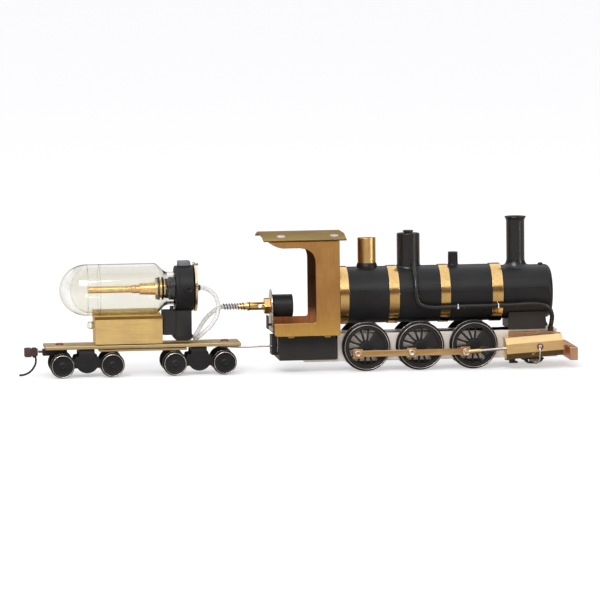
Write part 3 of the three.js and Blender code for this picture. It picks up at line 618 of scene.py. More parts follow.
def bevelled(node, body, finish, bevel=0.15):
    """A CAD node whose shape is right, with its edges softened."""
    return piece(f"{node}_finished", cad_shape(node), body, finish, bevel, (node,))


def screw(radius, low, high, centre, slot_half=0.22):
    """An upright slotted screw with a crowned head, from low to high."""
    rise = high - low
    shoulder, crown = low + 0.55 * rise, low + 0.9 * rise
    head = [(0, low), (radius, low), (radius, shoulder), (0.8 * radius, crown), (0, high)]
    slot = box((-2 * radius, -slot_half, high - 0.35 * rise), (2 * radius, slot_half, high + rise))
    return cut(lathe("z", head, centre, 32), moved(slot, centre))


# ---------------------------------------------------------------- gas hose

HOSE_R = 0.875
HOSE_ROUTE = [
    (-38, 0, 33.8),
    (-36.3, -0.1, 33.5),
    (-34, -0.5, 32.3),
    (-32.3, -0.9, 30.4),
    (-31.4, -1.5, 28),
    (-31.3, -2.1, 25.4),
    (-32, -2.8, 22.8),
    (-33.4, -3.6, 20.4),
    (-35.2, -4.3, 18.3),
    (-37.3, -4.5, 16.55),
    (-38.75, -3.9, 15.25),
    (-39.9, -2.5, 14.3),
    (-40.45, -0.65, 13.9),
    (-40.4, 1.4, 14.25),
    (-39.7, 3.15, 15.15),
    (-38.45, 4.3, 16.8),
    (-36.95, 4.5, 19.3),
    (-35.3, 3.8, 21.6),
    (-33.5, 2.6, 23.5),
    (-31.7, 1, 25.1),
    (-29.5, 0, 26),
]

hose_path = smooth(HOSE_ROUTE, 6)
gas_hose = piece("gas_hose_tube", tube(hose_path, HOSE_R, 20), None, silicone, 0, ("gas_hose",))
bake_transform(gas_hose)

# ---------------------------------------------------------------- driving wheels

AXLE_NAMES = ("rear", "middle", "front")
AXLE_X = (26.6, 48.0, 69.4)
AXLE_Z = 9.65
CRANK_R = 4.5
CRANK_ANGLE = {"near": 212, "far": 302}
SPOKES = 14
SPOKE_PITCH = 360 / SPOKES
BALANCE_HALF = 2 * SPOKE_PITCH
PIN_R = 0.8
TYRE = [
    (7.1, -10.0),
    (7.72, -10.0),
    (7.78, -9.86),
    (7.92, -9.86),
    (7.98, -10.0),
    (8.7, -10.0),
    (8.85, -9.85),
    (8.85, -8.05),
    (9.35, -7.78),
    (9.62, -7.5),
    (9.65, -7.3),
    (9.52, -7.2),
    (7.1, -7.2),
    (7.1, -10.0),
]
CRANK_BOSS = [(0, -10.3), (1.45, -10.3), (1.6, -10.15), (1.75, -8.2), (0, -8.2)]
HUB = [(0, -9.9), (1.5, -9.9), (2.2, -9.75), (2.55, -9.4), (2.6, -7.2), (0, -7.2)]


def crank_pin(side):
    turn = math.radians(CRANK_ANGLE[side])
    return CRANK_R * math.cos(turn), CRANK_R * math.sin(turn)


def driver_casting(side):
    """Tyre, round tapered spokes, crescent balance weight, hub and crank boss, drawn about its axle."""
    crank = CRANK_ANGLE[side]
    pieces = [lathe("y", TYRE), lathe("y", HUB, segments=48)]
    for i in range(SPOKES):
        turn = math.radians(crank + i * SPOKE_PITCH)
        ends = [(r * math.cos(turn), -8.8, r * math.sin(turn)) for r in (2.0, 7.4)]
        pieces.append(tube(ends, 0.47, 10, 0.38))
    weight_at = crank + 180 - SPOKE_PITCH
    weight = arc(0, 0, 7.3, weight_at - BALANCE_HALF, weight_at + BALANCE_HALF, 32)
    weight += arc(0, 0, 2.2, weight_at + BALANCE_HALF, weight_at - BALANCE_HALF, 12)
    pieces.append(prism("y", weight, -9.45, -8.2))
    pin_x, pin_z = crank_pin(side)
    pieces.append(lathe("y", CRANK_BOSS, (pin_x, 0, pin_z), 40))
    web = arc(0, 0, 2.2, crank + 80, crank + 280, 12) + arc(pin_x, pin_z, 1.5, crank - 80, crank + 80, 12)
    pieces.append(prism("y", web, -9.8, -8.3))
    return joined(*pieces)


def driver_pin(side, with_head):
    pin_x, pin_z = crank_pin(side)
    if not with_head:
        return bar("y", PIN_R, -12.0, -10.0, (pin_x, 0, pin_z), 24)
    profile = [(0, -12.3), (0.55, -12.35), (0.75, -12.5), (1.15, -12.5), (1.4, -12.3), (1.4, -11.8)]
    profile += [(PIN_R, -11.8), (PIN_R, -10.0), (0, -10.0)]
    return lathe("y", profile, (pin_x, 0, pin_z), 32)


for name, axle_x in zip(AXLE_NAMES, AXLE_X):
    body = f"{name}_wheels"
    at_axle = (axle_x, 0, AXLE_Z)
    axle = bar("y", 1.5, -9.5, 9.5, at_axle)
    piece(f"{name}_axle_bar", axle, body, worn_steel, 0.08, (f"{name}_axle",))
    for side in SIDES:
        casting = moved(on_side(driver_casting(side), side), at_axle)
        node = f"{name}_driver_{side}"
        piece(f"{node}_casting", casting, body, cast_black, 0.08, (node,))
        lines = joined(torus("y", 8.72, 0.1, -9.98), torus("y", 9.6, 0.09, -7.36))
        piece(f"{node}_rim_lines", moved(on_side(lines, side), at_axle), body, rim_steel, 0)
        pin = moved(on_side(driver_pin(side, name != "front"), side), at_axle)
        piece(f"{node}_crank_pin", pin, body, pin_metal, 0.06)

# ---------------------------------------------------------------- rods and cylinders

CYLINDER_PIVOT = (94.5, 9.1)
CYLINDER_Y = -13.1
CYLINDER_OUTER = -17.2
ROD_R = 0.6
BIG_END_R = 1.5
PIVOT_NUT = [(0, -0.75), (0.5, -0.7), (0.75, -0.4), (0.75, 0), (0, 0)]
HOOK_ROUTE = [
    (94.3, -17.55, 8.6),
    (94.3, -17.9, 7.6),
    (94.2, -17.9, 5),
    (94.1, -17.6, 3.6),
    (93.5, -16.9, 3),
    (92.2, -15.8, 2.9),
]
PORT_BOLT_AT = (0, -7.4, 13.0)

for side in SIDES:
    rod_body = f"side_rod_{side}"
    bevelled(rod_body, rod_body, rod_brass, 0.25)
    pin_x, pin_z = crank_pin(side)
    pin_at = (AXLE_X[2] + pin_x, 0, AXLE_Z + pin_z)
    collar = hoop("y", 0.95, 1.55, -11.95, -11.7, pin_at, 32)
    piece(f"{rod_body}_front_bush", on_side(collar, side), rod_body, red_screw, 0.05)
    bevelled(f"cylinder_{side}", f"cylinder_{side}", cylinder_brass, 0.18)

    rise, run = CYLINDER_PIVOT[1] - pin_at[2], CYLINDER_PIVOT[0] - pin_at[0]
    tilt = math.degrees(math.atan2(rise, run))

    def in_line(shape):
        """From the rod's own line, drawn about its big end, to where the rod lies."""
        return on_side(moved(turned(shape, "Y", -tilt), pin_at), side)

    middle = (0, CYLINDER_Y, 0)
    rod_name = f"piston_rod_{side}"
    steel_rod = joined(bar("x", ROD_R, 0, 20.2, middle, 24), bar("x", 2.5, 19.7, 22.7, middle, 48))
    piece(f"{rod_name}_bar", in_line(steel_rod), rod_name, bright_steel, 0.1, (rod_name,))
    sleeve = lathe("x", [(0, 0.8), (0.95, 0.8), (0.95, 5.4), (0.8, 6.0), (0, 6.0)], middle, 32)
    piece(f"{rod_name}_sleeve", in_line(sleeve), rod_name, cylinder_brass, 0.08)
    big_end = [(0, -0.85), (0.5, -0.85), (0.6, -0.7), (1.0, -0.7), (1.1, -0.85), (BIG_END_R, -0.75)]
    big_end += [(BIG_END_R, 0.75), (1.3, 0.85), (0, 0.85)]
    piece(f"{rod_name}_big_end", in_line(lathe("y", big_end, middle, 40)), rod_name, pin_metal, 0.06)

    # the pivot's nut and the wire that hooks down from it
    cylinder_body = f"cylinder_{side}"
    nut_at = (CYLINDER_PIVOT[0], CYLINDER_OUTER, CYLINDER_PIVOT[1])
    seat = on_side(hoop("y", 0.5, 1.35, -0.18, 0.1, nut_at, 32), side)
    piece(f"pivot_washer_{side}", seat, cylinder_body, red_screw, 0.05)
    nut = on_side(lathe("y", PIVOT_NUT, nut_at, 24), side)
    piece(f"pivot_nut_{side}", nut, cylinder_body, bright_steel, 0.05)
    hook = on_side(tube(smooth(HOOK_ROUTE), 0.24, 10), side)
    piece(f"pivot_wire_{side}", hook, cylinder_body, bright_steel, 0)
    bevelled(f"port_block_{side}", "locomotive", port_bronze, 0.2)
    bolt_head = hexagon("x", 1.7, 102.2, 103.2, PORT_BOLT_AT)
    bolt = joined(bolt_head, bar("x", 0.55, 103.2, 104.2, PORT_BOLT_AT, 20))
    piece(f"port_bolt_{side}", on_side(bolt, side), "locomotive", worn_steel, 0.06)

# ---------------------------------------------------------------- locomotive frame

bevelled("main_frame", "locomotive", bare_aluminium, 0.2)
bevelled("smokebox_saddle", "locomotive", black_paint, 0.25)
bevelled("buffer_beam", "locomotive", beam_copper, 0.25)
bevelled("firebox_case", "locomotive", black_paint, 0.35)
bevelled("drawbar_bracket", "locomotive", black_paint, 0.15)

lug = [(84.0, 1.6), (87.3, 1.6), (87.3, 2.3), (86.2, 2.5), (86.2, 3.2), (87.0, 3.95), (84.0, 3.95)]
lever = [(90.2, 2.0), (91.6, 1.3), (94.8, 1.1), (96.9, 2.0), (98.0, 3.3), (97.0, 3.95)]
lever += [(90.8, 3.95), (90.0, 3.0)]
SPRING_TURNS, SPRING_STEPS, SPRING_PITCH = 9, 8, 0.55
SPRING_AT = (91.2, -6.35, 2.6)
spring = []
for i in range(SPRING_TURNS * SPRING_STEPS):
    turn = 2 * math.pi * i / SPRING_STEPS
    along = SPRING_PITCH * i / SPRING_STEPS
    spring.append(on_axis("x", along, 0.5 * math.cos(turn), 0.55 * math.sin(turn), SPRING_AT))
for side in SIDES:
    under = joined(prism("y", lug, -6.4, -4.2), prism("y", lever, -6.0, -4.6))
    piece(f"underframe_lugs_{side}", on_side(under, side), "locomotive", cast_black, 0.12)
    wire = on_side(tube(spring, 0.14, 8), side)
    piece(f"underframe_spring_{side}", wire, "locomotive", bright_steel, 0)

# ---------------------------------------------------------------- boiler and its fittings

BOILER_Z = 29.6
BOILER_R = 11.2
SMOKEBOX_R = 10.6
FLUE_R = 4.6
FLUE_Z = 26.0
BOILER_AT = (0, 0, BOILER_Z)
BAND_THICK = 0.35
VALVE_X, DOME_X, WHISTLE_X, CHIMNEY_X = 28.1, 44.7, 62.5, 87.6
BORE_R = 2.7
CHIMNEY_TOP = 59.5

barrel = lathe("x", [(0, 16.1), (BOILER_R, 16.1), (BOILER_R, 81.0), (0, 81.0)], BOILER_AT, 128)
barrel = cut(barrel, bar("x", FLUE_R, 10, 79, (0, 0, FLUE_Z), 64))
piece("boiler_barrel", barrel, "locomotive", boiler_paint, 0.2, ("boiler_shell",))

BANDS = {
    "boiler_ring_rear": (16.1, 19.7),
    "boiler_band_1": (35.7, 39.7),
    "boiler_band_2": (56.2, 60.0),
    "boiler_band_3": (76.7, 81.0),
}
for name, (low, high) in BANDS.items():
    strap = hoop("x", BOILER_R, BOILER_R + BAND_THICK, low, high, BOILER_AT, 128)
    piece(f"{name}_strap", strap, "locomotive", polished_brass, 0.1, (name,))

NOSE_R = 2.2
SMOKEBOX_FRONT = 101.2
nose = [(r, x) for x, r in arc(SMOKEBOX_FRONT - NOSE_R, SMOKEBOX_R - NOSE_R, NOSE_R, 90, 0, 12)]
drum = [(0, 81.3), (SMOKEBOX_R, 81.3), *nose, (4.5, SMOKEBOX_FRONT + 0.25), (0, SMOKEBOX_FRONT + 0.4)]
smokebox = cut(lathe("x", drum, BOILER_AT, 128), bar("z", BORE_R, BOILER_Z, 45, (CHIMNEY_X, 0, 0), 48))
piece("smokebox_drum", smokebox, "locomotive", boiler_paint, 0, ("smokebox",))
smokebox_top = BOILER_Z + SMOKEBOX_R
boiler_top = BOILER_Z + BOILER_R
bump_screw = screw(1.0, smokebox_top - 0.25, smokebox_top + 0.75, (97.5, 0, 0))
piece("smokebox_screw", bump_screw, "locomotive", cast_black, 0.05)


def saddled(profile, x, drum_r, reach, segments=96):
    """An upright turned fitting whose foot follows the drum: full at the foot, gone at reach above it."""
    drum_top = BOILER_Z + drum_r

    def follow(v):
        height = v.z - drum_top
        share = min(1, max(0, 1 - height / reach))
        fall = drum_r - math.sqrt(max(0, drum_r**2 - v.y**2))
        return Vector((v.x, v.y, v.z - fall * share * share))

    return changed(lathe("z", profile, (x, 0, 0), segments), follow)


def flared_foot(radius, foot, base, height, steps=8):
    """The concave flare from a fitting's foot up to its barrel."""
    places = []
    for i in range(steps + 1):
        turn = math.pi / 2 * i / steps
        places.append((foot - (foot - radius) * math.sin(turn), base + height * (1 - math.cos(turn))))
    return places


chimney = [
    (BORE_R, smokebox_top - 1),
    (5.0, smokebox_top - 1),
    *flared_foot(3.6, 5.0, smokebox_top + 0.05, 2.6),
    (3.6, 57.7),
    (3.72, 58.3),
    (4.15, 59.15),
    (4.25, 59.35),
    (4.2, CHIMNEY_TOP),
    (2.9, CHIMNEY_TOP),
    (BORE_R, 59.3),
    (BORE_R, smokebox_top - 1),
]
chimney = saddled(chimney, CHIMNEY_X, SMOKEBOX_R, 3)
piece("chimney_turned", chimney, "locomotive", gloss_black, 0, ("chimney",))
dome = [
    (0, boiler_top - 1.5),
    (4.85, boiler_top - 1.5),
    (4.85, boiler_top + 0.1),
    *flared_foot(4.55, 4.85, boiler_top + 0.1, 1.0, 4),
    (4.55, 53.3),
    (4.45, 53.6),
    (4.2, 53.7),
    (1.9, 53.72),
    (1.75, 53.8),
    (1.75, 54.15),
    (2.1, 54.25),
    (2.1, 54.65),
    (1.95, 54.8),
    (0, 54.8),
]
dome = saddled(dome, DOME_X, BOILER_R, 2)
piece("steam_dome_turned", dome, "locomotive", gloss_black, 0, ("steam_dome",))
bush = [(0, boiler_top - 1.2), (4.1, boiler_top - 1.2), (4.1, boiler_top + 0.4)]
bush += [(3.75, 42.15), (3.6, 42.3), (0, 42.3)]
bush = saddled(bush, VALVE_X, BOILER_R, 2)
piece("safety_valve_bush", bush, "locomotive", black_paint, 0.06)
stack = [
    (0, 42.3),
    (3.55, 42.3),
    (3.6, 42.4),
    (3.6, 52.05),
    (3.5, 52.2),
    (2.95, 52.2),
    (2.8, 52.05),
    (2.8, 44.0),
    (0, 44.0),
]
VALVE_AT = (VALVE_X, 0, 0)
stack = lathe("z", stack, VALVE_AT)
piece("safety_valve_sleeve", stack, "locomotive", stack_brass, 0, ("safety_valve_stack",))
valve_stem = joined(bar("z", 1.0, 43.9, 50.6, VALVE_AT, 24), hexagon("z", 3.4, 44.0, 47.0, VALVE_AT))
piece("safety_valve_stem", valve_stem, "locomotive", polished_brass, 0.1)
whistle = [
    (0, boiler_top - 0.6),
    (2.35, boiler_top - 0.6),
    *flared_foot(1.95, 2.35, boiler_top, 0.9, 5),
    (1.95, 45.0),
    (1.82, 45.1),
    (1.82, 45.3),
    (1.98, 45.4),
    (1.92, 45.85),
    (1.65, 45.9),
    (0, 45.9),
]
whistle = saddled(whistle, WHISTLE_X, BOILER_R, 2, 48)
piece("whistle_plug", whistle, "locomotive", black_paint, 0, ("whistle_stub",))

# ---------------------------------------------------------------- steam pipes

PIPE_R = 0.9
PIPE_Y, PIPE_Z = -12.3, 25.2
UNION_X = 100.3
PIPE_REACH = BOILER_R + PIPE_R + 0.65
round_boiler = [
    (46, -PIPE_REACH * math.sin(math.radians(a)), BOILER_Z + PIPE_REACH * math.cos(math.radians(a)))
    for a in (28, 47, 66, 85)
]
PIPE_ROUTE = [
    *round_boiler,
    (47.2, -12.8, 26.8),
    (50.6, PIPE_Y, PIPE_Z),
    (66, PIPE_Y, PIPE_Z),
    (80.3, PIPE_Y, PIPE_Z),
    (95.7, PIPE_Y, PIPE_Z),
    (99.1, -11.7, 23.6),
    (UNION_X, -11, 20.6),
    (UNION_X, -10.2, 18.6),
    (UNION_X, -8.4, 16.7),
    (UNION_X, -7.4, 15.3),
]
CLIP_X = (62.6, 78.7)
for side in SIDES:
    node = f"steam_pipe_{side}"
    run = on_side(tube(smooth(PIPE_ROUTE), PIPE_R, 24), side)
    piece(f"{node}_tube", run, "locomotive", gloss_black, 0, (node,))
    clips = [hoop("x", 0.86, 1.03, x - 0.15, x + 0.15, (0, PIPE_Y, PIPE_Z), 32) for x in CLIP_X]
    knots = [bar("x", 0.22, x - 0.3, x + 0.3, (0, -13.15, 24.7), 16) for x in CLIP_X]
    ties = on_side(joined(*clips, *knots), side)
    piece(f"pipe_ties_{side}", ties, "locomotive", white_nylon, 0.05)
    union_at = (UNION_X, -7.3, 0)
    collar = lathe("z", [(0, 15.6), (1.2, 15.6), (1.05, 16.2), (0, 16.2)], union_at, 32)
    union = joined(hexagon("z", 2.1, 14.3, 15.6, union_at), collar)
    piece(f"pipe_union_{side}", on_side(union, side), "locomotive", cast_black, 0.08)

# ---------------------------------------------------------------- cab

CAB_HALF = 15
CAB_TOP = 52.4
SHEET = 0.8
cab_outline = [
    (15.6, CAB_TOP),
    *swept_corner((-12.6, CAB_TOP), (-9.6, 50.0), (-6.6, 49.8)),
    *swept_corner((-0.2, 49.8), (6.1, 49.2), (6.1, 43.5)),
    *swept_corner((6.1, 21.3), (6.1, 20.2), (5.0, 20.2), 5),
    *swept_corner((-9.85, 20.2), (-10.4, 20.2), (-10.4, 19.65), 4),
    *arc(-9.3, 16.2, 1.1, 180, 270, 6),
    *arc(14.5, 16.2, 1.1, 270, 360, 6),
]
for side in SIDES:
    panel = prism("y", cab_outline, -CAB_HALF, -CAB_HALF + SHEET)
    name = f"cab_side_{side}"
    piece(f"{name}_sheet", on_side(panel, side), "locomotive", cab_brass, 0.16, (name,))
    # A thin sheet on the inner face of each cab side carries painted shade.
    shade_sheet = prism("y", cab_outline, -CAB_HALF + SHEET, -CAB_HALF + SHEET + 0.08)
    piece(f"inner_face_painted_shade_{side}", on_side(shade_sheet, side), "locomotive", inner_face_painted_shade, 0)
    for end, x in (("rear", -3.9), ("front", 10.6)):
        wedge = [(x - 1.7, 15.2), (x + 1.7, 15.2), (x + 0.9, 14.35), (x - 0.9, 14.35)]
        foot = on_side(prism("y", wedge, -CAB_HALF + 0.9, -12.6), side)
        piece(f"floor_bracket_{side}_{end}", foot, "locomotive", rod_brass, 0.08)

# The cab front plate's dark brown is painted shade inside the cab.
bevelled("cab_front", "locomotive", front_plate_painted_shade, 0.12)
bevelled("cab_roof", "locomotive", roof_brass, 0.2)
ROOF_TOP, ROOF_FOLD_Y = 54.9, 7.5
ROOF_EAVE, ROOF_EAVE_Y = 53.2, 15.8
SCREW_X = (-7, 14)
SCREW_Y = 10.6
fall = (ROOF_TOP - ROOF_EAVE) / (ROOF_EAVE_Y - ROOF_FOLD_Y)
screw_z = ROOF_TOP - (SCREW_Y - ROOF_FOLD_Y) * fall
for i, x in enumerate(SCREW_X):
    for side in SIDES:
        seat = joined(hoop("z", 1.0, 1.7, -0.05, 0.05, ORIGIN, 40), screw(1.25, -0.3, 0.12, ORIGIN, 0.2))
        seat = moved(turned(seat, "X", math.degrees(math.atan(fall))), (x, -SCREW_Y, screw_z))
        piece(f"roof_screw_{side}_{i}", on_side(seat, side), "locomotive", bright_steel, 0.04)

# ---------------------------------------------------------------- burner

BURNER_Z = 26.0
BURNER_AT = (0, 0, BURNER_Z)
ARCH_R = 6.6
cup = [
    (0, -9.8),
    (4.15, -9.8),
    (4.35, -9.72),
    (4.45, -9.5),
    (4.45, -1.9),
    (4.3, -1.75),
    (3.9, -1.75),
    (3.75, -1.9),
    (3.75, -6.8),
    (0, -6.8),
]
cup = lathe("x", cup, BURNER_AT, 64)
piece("burner_cup", cup, "locomotive", black_paint, 0, ("burner_body",))
arch = [(-ARCH_R, 16.3), (ARCH_R, 16.3), *arc(0, BURNER_Z, ARCH_R, 0, 180, 40)]
arch = prism("x", arch, -10.4, -10.1)
piece("burner_back_plate", arch, "locomotive", bright_steel, 0.05, ("burner_plate",))
tab = joined(box((-11.9, -2.6, 16.9), (-11.4, 2.6, 22.2)), bar("x", 0.5, -11.5, -10.3, (0, 0, 18.5), 20))
piece("burner_air_tab", tab, "locomotive", black_paint, 0.1)

stem = [
    (0, -23.6),
    (0.8, -23.6),
    (0.85, -23.5),
    (1.3, -20.0),
    (1.3, -19.6),
    (1.75, -19.6),
    (1.75, -19.0),
    (1.6, -18.9),
    (1.6, -12.4),
    (0, -12.4),
]
stem = cut(lathe("x", stem, BURNER_AT, 48), bar("y", 0.85, -3, 3, (-14.5, 0, BURNER_Z), 32))
piece("gas_jet_stem", stem, "locomotive", polished_brass, 0.06, ("gas_jet",))
nut = hexagon("x", 6.0, -12.9, -10.7, BURNER_AT)
washer = bar("x", 2.6, -10.7, -10.4, BURNER_AT, 40)
piece("gas_jet_nut", joined(nut, washer), "locomotive", polished_brass, 0.18)
seal = torus("x", 1.58, 0.14, -18.75, BURNER_AT, 48)
piece("gas_jet_seal", seal, "locomotive", black_plastic, 0)

COIL_TURNS = 8
COIL_STEPS = 18
COIL_REAR, CONE_REAR, COIL_FRONT = -29.2, -23.5, -20.5
coil = []
for i in range(COIL_TURNS * COIL_STEPS + 1):
    turn = 2 * math.pi * i / COIL_STEPS
    x = COIL_REAR + (COIL_FRONT - COIL_REAR) * i / (COIL_TURNS * COIL_STEPS)
    widening = max(0, x - CONE_REAR) / (COIL_FRONT - CONE_REAR)
    radius = 1.15 + 0.35 * widening
    coil.append((x, radius * math.cos(turn), BURNER_Z + radius * math.sin(turn)))
piece("hose_spring_coil", tube(coil, 0.19, 8), "locomotive", spring_wire, 0, ("hose_spring",))
hose_end = hoop("x", 0.55, 0.87, -29.45, -23.4, BURNER_AT, 32)
piece("hose_tail", hose_end, "locomotive", silicone, 0)

for i, y in enumerate((-4.35, -3.6)):
    strand = tube(smooth([(-8.3, y, 14.2), (-8.1, y - 0.15, 11), (-8.3, y, 8)]), 0.16, 8)
    piece(f"bracket_wire_{i}", strand, "locomotive", bright_steel, 0)

# ---------------------------------------------------------------- tender body

bevelled("tender_deck", "tender", deck_brass, 0.2)
bevelled("stiffener_plate", "tender", deck_brass, 0.15)
bevelled("tank_box", "tender", tank_brass, 0.25)
for end, x in (("rear", -94), ("front", -28.8)):
    head = screw(1.6, 12.4, 13.25, (x, 0, 0), 0.25)
    piece(f"deck_screw_{end}", head, "tender", red_screw, 0.06)
EYE_AT = (-28.9, 0, 0)
hitch_nut = joined(hexagon("z", 2.9, 9.75, 10.1, EYE_AT), bar("z", 0.44, 9.7, 11.1, EYE_AT, 24))
piece("hitch_nut", hitch_nut, "tender", red_screw, 0.06)

TANK_REAR, TANK_FRONT, TANK_SIDE = -80.3, -53.8, -7.3
LIP = 0.14
# The strips are drawn as a lid band round the tank; their dark brass is painted shade under the tank box's
# top edge.
for side in SIDES:
    strip = box((TANK_REAR - LIP, TANK_SIDE - LIP, 22.6), (TANK_FRONT + LIP, TANK_SIDE + 0.1, 23.85))
    piece(f"tank_lid_{side}", on_side(strip, side), "tender", lid_band_painted_shade, 0.1)
BEAD_AT = (-81.75, -3, 20.2)
bead = [(r, x) for x, r in arc(0, 0, 1.65, 176, 4, 24) + arc(0, 0, 1.3, 4, 176, 24)]
piece("sight_bead", lathe("x", bead, BEAD_AT, 48), "tender", bottle_glass, 0)

# ---------------------------------------------------------------- fuel bottle

BOTTLE_Z = 33.8
BOTTLE_AT = (0, 0, BOTTLE_Z)
CURVE_STEPS = 16
SHOULDER_REAR, SHOULDER_LENGTH = -56.6, 5.4
MOUTH = -47.25


def bottle_surface(radius, neck, start, dome_front):
    """One side of the glass, from the middle of the domed end to the mouth."""
    places = []
    for i in range(CURVE_STEPS + 1):
        turn = math.pi / 2 * i / CURVE_STEPS
        places.append((radius * math.sin(turn), start + (dome_front - start) * (1 - math.cos(turn))))
    for i in range(CURVE_STEPS + 1):
        t = i / CURVE_STEPS
        ease = t * t * (3 - 2 * t)
        places.append((radius + (neck - radius) * ease, SHOULDER_REAR + SHOULDER_LENGTH * t))
    return places + [(neck, MOUTH)]


outside = bottle_surface(10.1, 6.5, -93.7, -83.1)
inside = bottle_surface(8.9, 5.4, -90.6, -82.4)
glass = lathe("x", outside + inside[::-1], BOTTLE_AT, 128)
piece("fuel_bottle", glass, "tender", bottle_glass, 0, ("glass_bottle",))

pipe = [
    (0, -83.0),
    (1.2, -83.0),
    (1.35, -82.8),
    (1.35, -65.4),
    (1.65, -65.3),
    (1.65, -62.3),
    (2.2, -62.2),
    (2.5, -56.2),
    (2.5, -55.9),
    (0, -55.9),
]
pipe = lathe("x", pipe, BOTTLE_AT, 64)
piece("dip_tube_pipe", pipe, "tender", stack_brass, 0, ("dip_tube",))
collar = bar("x", 3.7, -56.0, -52.3, BOTTLE_AT, 64)
piece("bottle_collar", collar, "tender", stack_brass, 0.06)
plug = [(0, -52.3), (3.9, -52.2), (3.9, -50.7)]
for i in range(6):
    x = -50.6 + 0.6 * i
    plug += [(4.6, x), (4.6, x + 0.25), (4.25, x + 0.42)]
plug += [(4.6, -47.0), (0, -47.0)]
piece("bottle_plug", lathe("x", plug, BOTTLE_AT, 64), "tender", black_plastic, 0)
seals = joined(*(torus("x", 4.1, 0.45, x, BOTTLE_AT, 64) for x in (-55.2, -53.4)))
piece("bottle_seals", seals, "tender", black_plastic, 0)
for end, x in (("rear", -82.9), ("front", -78.1)):
    seam = torus("x", 10.08, 0.09, x, BOTTLE_AT, 128, 8)
    piece(f"bottle_seam_{end}", seam, "tender", bottle_glass, 0)

clamp = [
    (0, -46.6),
    (6.7, -46.6),
    (6.7, -48.3),
    (8.6, -48.3),
    (8.9, -48.1),
    (8.9, -47.2),
    (8.75, -47.0),
    (8.75, -46.8),
    (9.1, -46.6),
    (9.1, -41.5),
    (8.85, -41.2),
    (0, -41.2),
]
clamp_shape = lathe("x", clamp, BOTTLE_AT, 96)
piece("clamp_ring_turned", clamp_shape, "tender", black_plastic, 0.12, ("clamp_ring",))
boss = box((-47.0, -2.6, BOTTLE_Z + 7.9), (-42.1, 2.6, 44.6))
piece("clamp_boss", boss, "tender", grey_boss, 0.45)
boss_band = box((-47.05, -2.65, BOTTLE_Z + 7.9), (-42.05, 2.65, 42.9))
piece("clamp_boss_foot", boss_band, "tender", black_plastic, 0.1)
socket = cut(bar("y", 1.5, -9.75, -8.0, (-43.6, 0, 34), 40), hexagon("y", 1.5, -10.5, -9.2, (-43.6, 0, 34)))
piece("clamp_socket_screw", socket, "tender", cast_black, 0.08)

disc = [(0, -40.9), (8.9, -40.9), (9.2, -40.7), (9.2, -40.0), (9.05, -39.8), (7.6, -39.8)]
disc += [(7.4, -39.95), (0, -39.95)]
disc = lathe("x", disc, BOTTLE_AT, 96)
piece("valve_disc_turned", disc, "tender", cream_brass, 0, ("valve_disc",))
RIM_SCREW_AT = (0, 0, BOTTLE_Z + 9.3)
rim_screw = bar("x", 0.85, -41.1, -40.2, RIM_SCREW_AT, 24)
rim_screw = joined(rim_screw, bar("x", 0.5, -40.2, -38.9, RIM_SCREW_AT, 20))
piece("valve_rim_screw", rim_screw, "tender", worn_steel, 0.08)
hub = joined(hexagon("x", 3.2, -40.0, -38.9, BOTTLE_AT), bar("x", 1.15, -38.9, -38.1, BOTTLE_AT, 32))
piece("valve_hub", hub, "tender", rusted, 0.12)

bevelled("support_column", "tender", black_plastic, 0.3)

# ---------------------------------------------------------------- drawbar and coupler

HITCH_X = -9.4
wire_path = smooth([(HITCH_X - 0.95, 0, 10), (-14, 0, 10), (-22, 0, 9.9), (-26, 0, 10.1), (-28, 0, 10.35)])
drawbar = joined(
    torus("z", 0.94, 0.31, 10, (HITCH_X, 0, 0), 40),
    torus("z", 0.94, 0.31, 10.35, EYE_AT, 40),
    tube(wire_path, 0.38, 12),
)
piece("drawbar_wire", drawbar, "tender", bright_steel, 0, ("drawbar",))

bevelled("coupler_pocket", "tender", black_plastic, 0.25)
PIN_X = -93.9
jaw = [
    (-11.2, -2.3),
    (-11.2, 2.7),
    (-12.3, 3.0),
    (-14.0, 2.0),
    (-13.6, 0.7),
    (-12.5, 0.5),
    (-12.5, -1.1),
    (-13.9, -1.3),
    (-13.7, -2.6),
]
head = moved(prism("z", jaw, 8.0, 11.4), (PIN_X, 0, 0))
pivot = (PIN_X - 10.1, 0.2, 0)
knuckle = joined(
    bar("z", 1.5, 8.3, 11.2, pivot, 32),
    bar("z", 0.9, 11.1, 11.6, pivot, 24),
    bar("z", 0.7, 7.6, 8.4, pivot, 24),
    box((PIN_X - 11.3, -1.2, 8.9), (PIN_X - 9.0, 1.4, 10.9)),
)
shank = box((PIN_X - 8.5, -0.9, 9.5), (PIN_X - 1.1, 0.9, 10.3))
eye = torus("z", 0.99, 0.36, 9.9, (PIN_X, 0, 0), 40)
head = joined(head, knuckle, shank, eye)
piece("coupler_head", head, "coupler", rusted, 0.2, ("coupler",))
trip = smooth(
    [
        (PIN_X - 9.6, 0, 8.4),
        (PIN_X - 9.5, 0, 5.8),
        (PIN_X - 10.1, 0, 4.1),
        (PIN_X - 11.7, 0, 2.1),
        (PIN_X - 14, 0, 0.95),
        (PIN_X - 16.06, 0, 0.7),
    ]
)
piece("coupler_trip_wire", tube(trip, 0.4, 14), "coupler", black_paint, 0)

# ---------------------------------------------------------------- trucks

